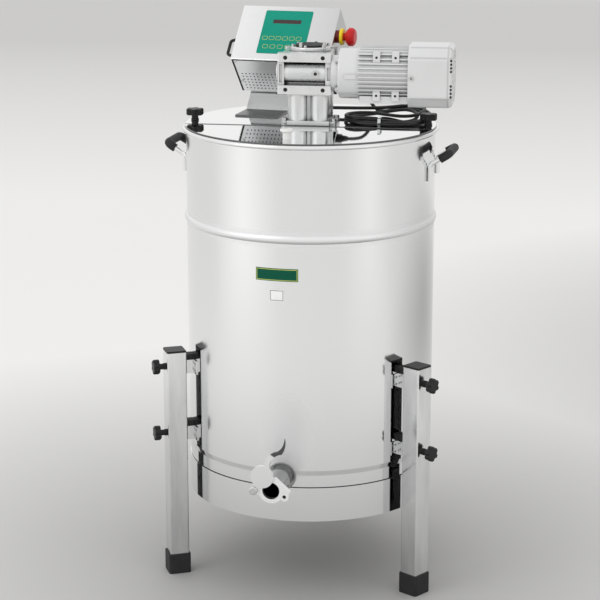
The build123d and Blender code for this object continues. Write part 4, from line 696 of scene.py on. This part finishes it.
# %% Zinc, gear steel, bronze and the motor's core
zinc = Finish("zinc_plate", (0.72, 0.725, 0.73), 0.25, 1.0)
tarnish = zinc.noise(260.0, 4.0)
zinc.set("Roughness", 0.16 + tarnish * 0.22)
zinc.set("Base Color", zinc.between(tarnish, (0.50, 0.50, 0.49), (0.72, 0.725, 0.73)))
gear_steel = Finish("gear_steel", (0.55, 0.555, 0.56), 0.28, 1.0)
gear_steel.set("Roughness", 0.2 + gear_steel.noise(30.0, 2.0, (40, 1, 1)) * 0.18)
bronze = Finish("gear_bronze", (0.66, 0.44, 0.19), 0.3, 1.0)
bronze.set("Roughness", 0.22 + bronze.noise(180.0, 3.0) * 0.2)
core_iron = Finish("motor_core", (0.12, 0.10, 0.09), 0.6, 0.4)
core_iron.set("Roughness", 0.45 + core_iron.noise(8.0, 2.0, (220, 1, 1)) * 0.3)
paint(zinc, "fasteners", "hinge_pin", "gate_pivot")
paint(gear_steel, "bearings", "worm_shaft", "motor_rotor")
paint(bronze, "worm_wheel")
paint(core_iron, "motor_stator")

# %% [markdown]
# ## Control box
# The box is folded from satin steel. Its grain runs across the panel, which is tilted, so the noise is
# turned into the box's own frame before it is stretched. The panel is painted greyer towards its right end,
# and the inside of the box and the holes of its vent are painted dark, all as painted shade. The board shows
# only as the dark window of its display.


# %% Box steel
def box_grain(finish):
    """Grain that runs across the tilted box."""
    return finish.noise(6.0, 4.0, (2, 160, 160), (-BOX_TILT, 0, 0))


BOX_SHEET, BOX_LONG = 0.0020, 0.140
at_across, at_up, at_out = [way.dot(CONSOLE.translation) for way in (PANEL_ACROSS, PANEL_UP, PANEL_OUT)]
satin = Finish("box_steel", (0.70, 0.705, 0.71), 0.25, 1.0)
lines = box_grain(satin)
# painted shade inside the box
inside_shade = satin.inside((PANEL_ACROSS, at_across + BOX_SHEET, at_across + CONSOLE_WIDE - BOX_SHEET),
                    (PANEL_UP, at_up - BOX_SHEET, at_up + BOX_LONG - BOX_SHEET),
                    (PANEL_OUT, at_out - CONSOLE_DEEP + BOX_SHEET, at_out - BOX_SHEET))
# painted shade towards the panel's right end
right_shade = satin.along(PANEL_ACROSS).ramp(at_across, CONSOLE_WIDE)
sheet = satin.between(right_shade, satin.between(lines, 0.80, 0.88), satin.between(lines, 0.56, 0.68))
satin.set("Base Color", satin.between(inside_shade, sheet, 0.03))
satin.set("Roughness", 0.17 + lines * 0.12)
satin.bump(lines, 0.04, 0.0005)
paint(satin, "console_shell")
print("box", CONSOLE_WIDE, "m wide")

# %% Vent panel and stand
VENT_SKIN, FOOT_TOP = 0.0014, LID_TOP + 0.0033
vent_steel = Finish("vent_steel", (0.66, 0.665, 0.67), 0.3, 1.0)
lines = box_grain(vent_steel)
# painted shade in the vent's holes
bore_shade = vent_steel.along(PANEL_UP) > at_up - VENT_SKIN
vent_steel.set("Base Color", vent_steel.between(bore_shade, vent_steel.between(lines, 0.80, 0.90), 0.015))
vent_steel.set("Roughness", 0.36 + lines * 0.14)
stand_steel = Finish("stand_steel", (0.60, 0.605, 0.61), 0.3, 1.0)
lines = stand_steel.noise(9.0, 4.0, (3, 120, 120))
# painted shade on the stand's foot
foot_shade = stand_steel.along((0, 0, 1)) < FOOT_TOP
stand_steel.set("Base Color", stand_steel.between(foot_shade, stand_steel.between(lines, 0.50, 0.70), 0.13))
stand_steel.set("Roughness", 0.24 + lines * 0.16)
paint(vent_steel, "vent_panel")
paint(stand_steel, "console_stand")

# %% Keypad film and board
PRINTED_IOR, BOARD_DEEP = 1.2, 0.002
film = Finish("keypad_film", (0.012, 0.30, 0.19), 0.38)
film.set("IOR", PRINTED_IOR)
speck = film.noise(900.0, 2.0)
film.set("Base Color", film.between(film.noise(20.0, 2.0), (0.006, 0.26, 0.180), (0.012, 0.31, 0.22)))
film.set("Roughness", 0.32 + speck * 0.12)
film.bump(speck, 0.1, 0.0002)
board = Finish("board", (0.02, 0.05, 0.03), 0.4)
window = board.along(PANEL_OUT) > at_out - BOARD_DEEP
board.set("Base Color", board.between(window, (0.02, 0.05, 0.03), (0.035, 0.012, 0.012)))
board.set("Roughness", 0.3 + board.noise(200.0, 2.0) * 0.2 - window * 0.25)
paint(film, "keypad_membrane")
paint(board, "control_board")

# %% [markdown]
# ## Rubber and plastic
# Feet, caps, knobs and grips are black, but not all alike. Rubber is dull and dusty, moulded nylon has a
# fine grain, and the emergency stop and the lift knob are glossy. Under an even white world a plain plastic
# looks hazy, so a low IOR keeps its colour deep.

# %% Rubber and nylon
PLASTIC_IOR = 1.3
rubber = Finish("black_rubber", (0.02, 0.02, 0.021), 0.6)
rubber.set("IOR", PLASTIC_IOR)
dust = rubber.noise(45.0, 5.0)
rubber.set("Base Color", rubber.between(dust, (0.012, 0.012, 0.013), (0.034, 0.034, 0.035)))
rubber.set("Roughness", 0.45 + dust * 0.25)
rubber.bump(rubber.noise(800.0, 2.0), 0.15, 0.0003)
nylon = Finish("black_nylon", (0.016, 0.016, 0.017), 0.45)
nylon.set("IOR", PLASTIC_IOR)
bead = nylon.noise(1100.0, 2.0)
nylon.set("Roughness", 0.3 + bead * 0.2)
nylon.bump(bead, 0.2, 0.0003)
knobs = [name for name in nodes if "knob" in name and name != "lid_lift_knob"]
paint(rubber, "leg_rubbers", "seam_seal", "handle_grips", "output_cap", "console_pull")
paint(nylon, "leg_caps", "console_glands", *knobs)
print("black knobs", len(knobs))


# %% Glossy plastics
def glossy(name, dark, light, roughness, piece):
    """Paint a piece in a glossy plastic between two shades."""
    finish = Finish(name, light, roughness, coat_weight=0.12, coat_roughness=0.1)
    finish.set("IOR", PLASTIC_IOR)
    haze = finish.noise(70.0, 3.0)
    finish.set("Base Color", finish.between(haze, dark, light))
    finish.set("Roughness", roughness + haze * 0.12)
    paint(finish, piece)


glossy("stop_red", (0.50, 0.010, 0.012), (0.62, 0.016, 0.018), 0.26, "estop_head")
glossy("stop_dark", (0.10, 0.006, 0.006), (0.16, 0.010, 0.010), 0.35, "estop_base")
glossy("stop_yellow", (0.80, 0.58, 0.01), (0.90, 0.68, 0.02), 0.35, "estop_collar")
glossy("white_plastic", (0.78, 0.78, 0.76), (0.84, 0.84, 0.82), 0.22, "lid_lift_knob")

# %% [markdown]
# ## Tie and plug
# A strip of silver foil, crinkled all over, holds the hank, and a strong bump gives it the crinkles. The
# plug is one solid with its pins, so a mask along X makes the pins metal and leaves the rest black.

# %% Tie and plug
PLUG_FACE = -0.0272
foil = Finish("tie_foil", (0.66, 0.67, 0.68), 0.2, 1.0)
crinkle = foil.noise(260.0, 3.0)
foil.set("Roughness", 0.12 + crinkle * 0.2)
foil.bump(crinkle, 0.4, 0.0006)
plug_mould = Finish("plug_mould", (0.014, 0.014, 0.015), 0.45)
pin = plug_mould.along((1, 0, 0)) < PLUG_FACE
plug_mould.set("Base Color", plug_mould.between(pin, (0.014, 0.014, 0.015), (0.72, 0.70, 0.62)))
plug_mould.set("Metallic", pin)
plug_mould.set("Roughness", 0.45 - pin * 0.2)
paint(foil, "hank_tie")
paint(plug_mould, "mains_plug")

# %% [markdown]
# ## Small parts that repeat
# Screw heads, weld marks and key outlines are one shape set at many places. Geometry Nodes do that well: a
# mesh holds only the points, each with a `facing` and an `along` direction, and a tree puts the shape on
# every point. The result is then made a plain mesh, so that nothing live is left on the piece.


# %% A tree that repeats a shape on points
class Pattern(Tree):
    """A Geometry Nodes tree with named sizes, which sets one shape on every point of a mesh."""

    def __init__(self, name, sizes):
        super().__init__(bpy.data.node_groups.new(name, "GeometryNodeTree"))
        self.sizes = sizes
        face = self.tree.interface
        face.new_socket("Geometry", in_out="INPUT", socket_type="NodeSocketGeometry")
        for size in sizes:
            face.new_socket(size, in_out="INPUT", socket_type="NodeSocketFloat")
        face.new_socket("Finish", in_out="INPUT", socket_type="NodeSocketMaterial")
        face.new_socket("Geometry", in_out="OUTPUT", socket_type="NodeSocketGeometry")
        self.source = self.tree.nodes.new("NodeGroupInput")

    def given(self, name):
        return Socket(self, self.source.outputs[name])

    def box(self, x, y, z):
        size = self.node("ShaderNodeCombineXYZ", None, {"X": x, "Y": y, "Z": z})
        return self.node("GeometryNodeMeshCube", None, {"Size": size})

    def round(self, sides, radius, depth, middle):
        """A cylinder along Z whose middle is at a height."""
        sizes = {"Vertices": sides, "Radius": radius, "Depth": depth}
        bar = self.node("GeometryNodeMeshCylinder", None, sizes)
        shift = self.node("ShaderNodeCombineXYZ", None, {"Z": middle})
        return self.node("GeometryNodeTransform", None, {"Geometry": bar, "Translation": shift})

    def direction(self, name):
        return self.node("GeometryNodeInputNamedAttribute", {"data_type": "FLOAT_VECTOR"}, {"Name": name})

    def repeat(self, shape):
        facing = {"Vector": self.direction("facing")}
        turn = self.node("FunctionNodeAlignRotationToVector", {"axis": "Z"}, facing)
        turn = self.node("FunctionNodeAlignRotationToVector", {"axis": "X", "pivot_axis": "Z"}, {
            "Rotation": turn, "Vector": self.direction("along"),
        })
        placed = self.node("GeometryNodeInstanceOnPoints", None, {
            "Points": self.given("Geometry"), "Instance": shape, "Rotation": turn,
        })
        real = self.node("GeometryNodeRealizeInstances", None, {"Geometry": placed})
        dress = {"Geometry": real, "Material": self.given("Finish")}
        done = self.node("GeometryNodeSetMaterial", None, dress)
        end = self.tree.nodes.new("NodeGroupOutput")
        self.plug(end.inputs["Geometry"], done)
        print(self.tree.name, "takes", ", ".join(self.sizes))


print("made Pattern")


# %% A piece from a pattern
def set_out(name, pattern, spots, finish, slot, **sizes):
    """Make one piece from a pattern and its places, each a point, a facing and a direction along it."""
    mesh = bpy.data.meshes.new(name)
    mesh.from_pydata([spot[0] for spot in spots], [], [])
    for column, way in ((1, "facing"), (2, "along")):
        values = mesh.attributes.new(way, "FLOAT_VECTOR", "POINT").data
        for value, spot in zip(values, spots):
            value.vector = spot[column]
    piece = bpy.data.objects.new(name, mesh)
    scene.collection.objects.link(piece)
    grow = piece.modifiers.new("grow", "NODES")
    grow.node_group = pattern.tree
    for item in pattern.tree.interface.items_tree:
        if item.in_out == "INPUT" and item.name in sizes:
            grow[item.identifier] = sizes[item.name]
        if item.in_out == "INPUT" and item.name == "Finish":
            grow[item.identifier] = finish.material
    grown = bpy.data.meshes.new_from_object(piece.evaluated_get(bpy.context.evaluated_depsgraph_get()))
    piece.modifiers.remove(grow)
    piece.data = grown
    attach(piece, "base")
    print(name, len(spots), "places,", len(grown.polygons), "faces")


print("made set_out")

# %% [markdown]
# ## Screws
# The gearbox has socket-head screws in its frame and on its cover. The gate's catch screw and the oil plug
# have the same socket. The vent panel and the fan cover have cross-head screws. A socket is a hexagon cut
# into a round head, so the tree cuts it with a Boolean. A cross recess is so small that two crossed dark
# bars of painted shade tell the same story, and the small vent holes along the fan cover's edge are thin
# dark discs of painted shade.

# %% A head with a hexagon socket
socket_head = Pattern("socket_head", ("radius", "height", "socket", "depth"))
head = socket_head.round(28, socket_head.given("radius"), socket_head.given("height"),
                         socket_head.given("height") * 0.5)
hexagon = socket_head.round(6, socket_head.given("socket"), socket_head.given("depth") * 2.0,
                            socket_head.given("height"))
drilled = socket_head.node("GeometryNodeMeshBoolean", {"operation": "DIFFERENCE"},
                           {"Mesh 1": head, "Mesh 2": hexagon})
socket_head.repeat(drilled)

# %% Screws of the gearbox's frame
FRAME_Y, FRAME_X, FRAME_Z = -0.071, (-0.041, 0.033), (1.0005, 1.0635)
SUNK, SCREW_LONG = 0.0022, 0.006
# one dark finish: the black of the socket screws, and painted shade on recesses and holes
dark_screw_and_shade = Finish("burnished_screw", (0.05, 0.05, 0.052), 0.35, 0.9)
dark_screw_and_shade.set("Roughness", 0.25 + dark_screw_and_shade.noise(400.0, 3.0) * 0.25)
frame_spots = []
for x in FRAME_X:
    for z in FRAME_Z:
        frame_spots.append(((x, FRAME_Y + SUNK + SCREW_LONG, z), (0, -1, 0), (1, 0, 0)))
set_out("frame_screws", socket_head, frame_spots, dark_screw_and_shade, "black_plastic",
        radius=0.0039, height=SCREW_LONG, socket=0.0019, depth=0.003)

# %% Screws of the gearbox's cover
COVER_RING, COVER_TOP, COVER_SUNK = 0.036, 1.0822, 0.0006
COVER_SCREWS, COVER_FIRST = 6, 20
cover_spots = []
for k in range(COVER_SCREWS):
    angle = radians(COVER_FIRST + 360 / COVER_SCREWS * k)
    spot = (COVER_RING * cos(angle), COVER_RING * sin(angle), COVER_TOP - COVER_SUNK)
    cover_spots.append((spot, (0, 0, 1), (cos(angle), sin(angle), 0)))
set_out("cover_screw_heads", socket_head, cover_spots, zinc, "zinc",
        radius=0.0028, height=0.0018, socket=0.0016, depth=0.0013)

# %% Catch screw of the gate
CATCH, CATCH_SUNK = Matrix.Rotation(TANK_TURN, 4, "Z") @ Vector((0.0266, -0.3345, 0.25265)), 0.004
catch_spot = CATCH - Vector(GATE_OUT) * CATCH_SUNK
set_out("catch_screw", socket_head, [(catch_spot, GATE_OUT, (0, 0, 1))], dark_screw_and_shade, "black_plastic",
        radius=0.0034, height=0.005, socket=0.0016, depth=0.003)

# %% Vent holes along the fan cover's edge
edge_hole = Pattern("edge_hole", ("radius", "height"))
# thin dark discs: painted shade in the vent holes
edge_hole.repeat(edge_hole.round(10, edge_hole.given("radius"), edge_hole.given("height"), 0.0))
EDGE_STEPS, EDGE_PITCH, EDGE_IN = (-5, -4, -3, -2, 2, 3, 4, 5), 0.0070, 0.00275
edge_spots = []
for side in (-1, 1):
    for step in EDGE_STEPS:
        spot = (COVER_END - EDGE_IN, MOTOR_Y + side * (COVER_HALF - EDGE_IN), MOTOR_Z + step * EDGE_PITCH)
        edge_spots.append((spot, (1, side, 0), (0, 0, 1)))
set_out("cover_edge_holes", edge_hole, edge_spots, dark_screw_and_shade, "black_plastic", radius=0.0027, height=0.0006)

# %% Socket of the oil plug
OIL_PLUG = (0.018, -0.068, 1.032)
# a thin dark disc: painted shade in the plug's socket
set_out("oil_plug_socket", socket_head, [(OIL_PLUG, (0, -1, 0), (0, 0, 1))], dark_screw_and_shade, "black_plastic",
        radius=0.0034, height=0.0006, socket=0.0020, depth=0.0005)

# %% Cross recesses of the vent screws, placed in millimetres
cross = Pattern("cross_recess", ("length", "width", "height"))
bars = [cross.box(cross.given("length"), cross.given("width"), cross.given("height")),
        cross.box(cross.given("width"), cross.given("length"), cross.given("height"))]
# two crossed dark bars: painted shade in a cross recess
cross.repeat(cross.node("GeometryNodeJoinGeometry", None, {"Geometry": bars}))
VENT_ACROSS, VENT_DEPTHS, VENT_FACE, CROSS_LEAN = (11.0, 197.0), (5.5, 71.0), -1.6, 0.6
cross_way = PANEL_ACROSS + PANEL_OUT * CROSS_LEAN
cross_spots = []
for across in VENT_ACROSS:
    for depth in VENT_DEPTHS:
        cross_spots.append((on_panel(across, VENT_FACE, -depth), -PANEL_UP, cross_way))
set_out("vent_screw_slots", cross, cross_spots, dark_screw_and_shade, "black_plastic",
        length=0.0034, width=0.0007, height=0.0005)

# %% Cross recesses of the fan cover's screws
FIX_X, FIX_HEAD = 0.209, 0.0026
fix_spots = []
for side in (-1, 1):
    spot = (FIX_X, MOTOR_Y + side * (COVER_HALF + FIX_HEAD), MOTOR_Z)
    fix_spots.append((spot, (0, side, 0), (1, 0, 1)))
set_out("cover_fix_slots", cross, fix_spots, dark_screw_and_shade, "black_plastic",
        length=0.0046, width=0.0010, height=0.0005)

# %% [markdown]
# ## Welds
# Each leg bracket is spot-welded to the wall through a pad, which leaves two rows of small round marks. The
# outlet stub is welded all round, and such a bead looks like a row of overlapping coins. Both are one
# flattened ball, repeated.

# %% A weld mark and its places on the tank's side
dimple = Pattern("weld_dimple", ("radius", "flatness"))
ball = dimple.node("GeometryNodeMeshUVSphere", None, {
    "Segments": 12, "Rings": 6, "Radius": dimple.given("radius"),
})
squeeze = dimple.node("ShaderNodeCombineXYZ", None, {"X": 1.0, "Y": 1.0, "Z": dimple.given("flatness")})
dimple.repeat(dimple.node("GeometryNodeTransform", None, {"Geometry": ball, "Scale": squeeze}))


def round_tank(angle, across, radius, height):
    """A place on the tank's side, from degrees round it, millimetres sideways, a radius and a height."""
    turn = radians(angle)
    out = Vector((sin(turn), -cos(turn), 0))
    side = Vector((cos(turn), sin(turn), 0))
    offset = asin(across / radius)
    way = out * cos(offset) + side * sin(offset)
    return way * (radius * MM) + Vector((0, 0, height * MM)), way, Vector((0, 0, 1))


# %% Spot welds, placed in millimetres
BRACKET_HEIGHTS, PAD_RADIUS = (302.0, 442.0), 252.0
WELD_ACROSS, WELD_RISE = (-27.0, -20.5, 20.5, 27.0), (-7.0, 7.0)
weld_spots = []
for angle in LEG_ANGLES:
    for height in BRACKET_HEIGHTS:
        for across in WELD_ACROSS:
            for rise in WELD_RISE:
                weld_spots.append(round_tank(angle, across, PAD_RADIUS, height + rise))
weld_finish = Finish("weld_mark", (0.30, 0.29, 0.28), 0.35, 1.0)
weld_finish.set("Base Color", weld_finish.between(weld_finish.noise(500.0, 3.0), 0.16, 0.42))
set_out("spot_welds", dimple, weld_spots, weld_finish, "leg_steel", radius=0.0024, flatness=0.22)

# %% Bead round the stub, placed in millimetres
STUB_WELD, STUB_Z, BEAD_RADIUS, BEADS = 26.0, 263.0, 250.2, 40
bead_spots = []
for k in range(BEADS):
    angle = radians(360 / BEADS * k)
    across, height = STUB_WELD * cos(angle), STUB_Z + STUB_WELD * sin(angle)
    bead_spots.append(round_tank(TANK_ANGLE, across, BEAD_RADIUS, height))
set_out("stub_weld", dimple, bead_spots, weld_finish, "tank_steel", radius=0.0028, flatness=0.4)

# %% [markdown]
# ## Keypad
# Below the dark display, the green film has two rows of keys. Each key is a thin raised outline with
# rounded corners, so the tree draws a rectangle, rounds it and sweeps a small circle along it.

# %% A key's outline
key = Pattern("key_outline", ("width", "height", "line"))
frame_line = key.node("GeometryNodeCurvePrimitiveQuadrilateral", {"mode": "RECTANGLE"}, {
    "Width": key.given("width"), "Height": key.given("height"),
})
rounded = key.node("GeometryNodeFilletCurve", {"mode": "POLY"}, {
    "Curve": frame_line, "Count": 4, "Radius": key.given("height") * 0.25,
})
wire = key.node("GeometryNodeCurvePrimitiveCircle", None, {"Resolution": 6, "Radius": key.given("line")})
key.repeat(key.node("GeometryNodeCurveToMesh", None, {"Curve": rounded, "Profile Curve": wire}))

# %% Keys: for each row its height up the panel, count, first place and pitch, in millimetres
FILM_TOP = 0.6
KEY_ROWS = ((56.0, 6, 63.0, 14.4), (34.5, 5, 68.0, 15.6))
key_ink = Finish("key_ink", (0.62, 0.66, 0.16), 0.5)
ink_spots = key_ink.noise(600.0, 2.0)
key_ink.set("Base Color", key_ink.between(ink_spots, (0.52, 0.56, 0.12), (0.68, 0.72, 0.20)))
key_spots = []
for up, count, first, pitch in KEY_ROWS:
    for k in range(count):
        key_spots.append((on_panel(first + k * pitch, up, FILM_TOP), PANEL_OUT, PANEL_ACROSS))
set_out("key_outlines", key, key_spots, key_ink, "membrane", width=0.0105, height=0.0088, line=0.0004)

# %% [markdown]
# ## Plates on the wall
# A green plate and a small white sticker sit on the front of the wall, and both are blank. They bend with
# the wall, so each is a grid of points laid round it, thickened by Solidify. A thin border in another
# colour is part of the finish.

# %% Sizes of the plates, each a height, a width and a tallness in millimetres
PLATE_ANGLE, WALL_RADIUS, BORDER = -7.4, 250.15, 2.6
GREEN_PLATE, WHITE_STICKER = (670.0, 84.0, 25.0), (629.0, 29.0, 23.0)
GREEN_THICK, WHITE_THICK = 0.0005, 0.0002  # in metres
PLATE_COLUMNS, PLATE_ROWS = 24, 6
print("plates at", PLATE_ANGLE, "degrees")


# %% A plate bent round the wall
def wall_plate(name, height, wide, tall, thick, finish, slot):
    """A plate bent round the wall."""
    spots, faces = [], []
    for row in range(PLATE_ROWS + 1):
        for column in range(PLATE_COLUMNS + 1):
            across, up = (column / PLATE_COLUMNS - 0.5) * wide, (row / PLATE_ROWS - 0.5) * tall
            spots.append(round_tank(PLATE_ANGLE, across, WALL_RADIUS, height + up)[0])
    for row in range(PLATE_ROWS):
        for column in range(PLATE_COLUMNS):
            first = row * (PLATE_COLUMNS + 1) + column
            faces.append((first, first + 1, first + PLATE_COLUMNS + 2, first + PLATE_COLUMNS + 1))
    mesh = bpy.data.meshes.new(name)
    mesh.from_pydata(spots, [], faces)
    mesh.materials.append(finish.material)
    piece = bpy.data.objects.new(name, mesh)
    scene.collection.objects.link(piece)
    wall = piece.modifiers.new("wall", "SOLIDIFY")
    wall.thickness, wall.offset = thick, 1.0
    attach(piece, "base")
    print(name, len(faces), "faces")


print("plate grid", PLATE_COLUMNS, "by", PLATE_ROWS)


# %% A finish with a border, and both plates
def bordered(name, height, wide, tall, inside, border):
    """A plain finish with a thin line round it, half a border in from the plate's edge."""
    finish = Finish(name, inside, 0.35)
    finish.set("IOR", PRINTED_IOR)
    angle = radians(PLATE_ANGLE)
    across = abs(finish.along((cos(angle), sin(angle), 0)))
    up = abs(finish.along((0, 0, 1)) - height * MM)
    rim = (across > (wide / 2 - BORDER) * MM) | (up > (tall / 2 - BORDER) * MM)
    line = rim - ((across > (wide / 2 - BORDER / 2) * MM) | (up > (tall / 2 - BORDER / 2) * MM))
    haze = finish.noise(90.0, 3.0)
    field = finish.between(haze, tuple(c * 0.85 for c in inside), inside)
    finish.set("Base Color", finish.between(line, field, border))
    finish.set("Roughness", 0.25 + haze * 0.2)
    return finish


green_plate = bordered("green_plate", *GREEN_PLATE, (0.004, 0.095, 0.055), (0.50, 0.56, 0.14))
white_sticker = bordered("white_sticker", *WHITE_STICKER, (0.95, 0.95, 0.94), (0.22, 0.22, 0.22))
wall_plate("green_wall_plate", *GREEN_PLATE, GREEN_THICK, green_plate, "membrane")
wall_plate("white_wall_sticker", *WHITE_STICKER, WHITE_THICK, white_sticker, "white_plastic")

# %% [markdown]
# ## The end
# The lesson ends here.

# %% The end
print("the end")
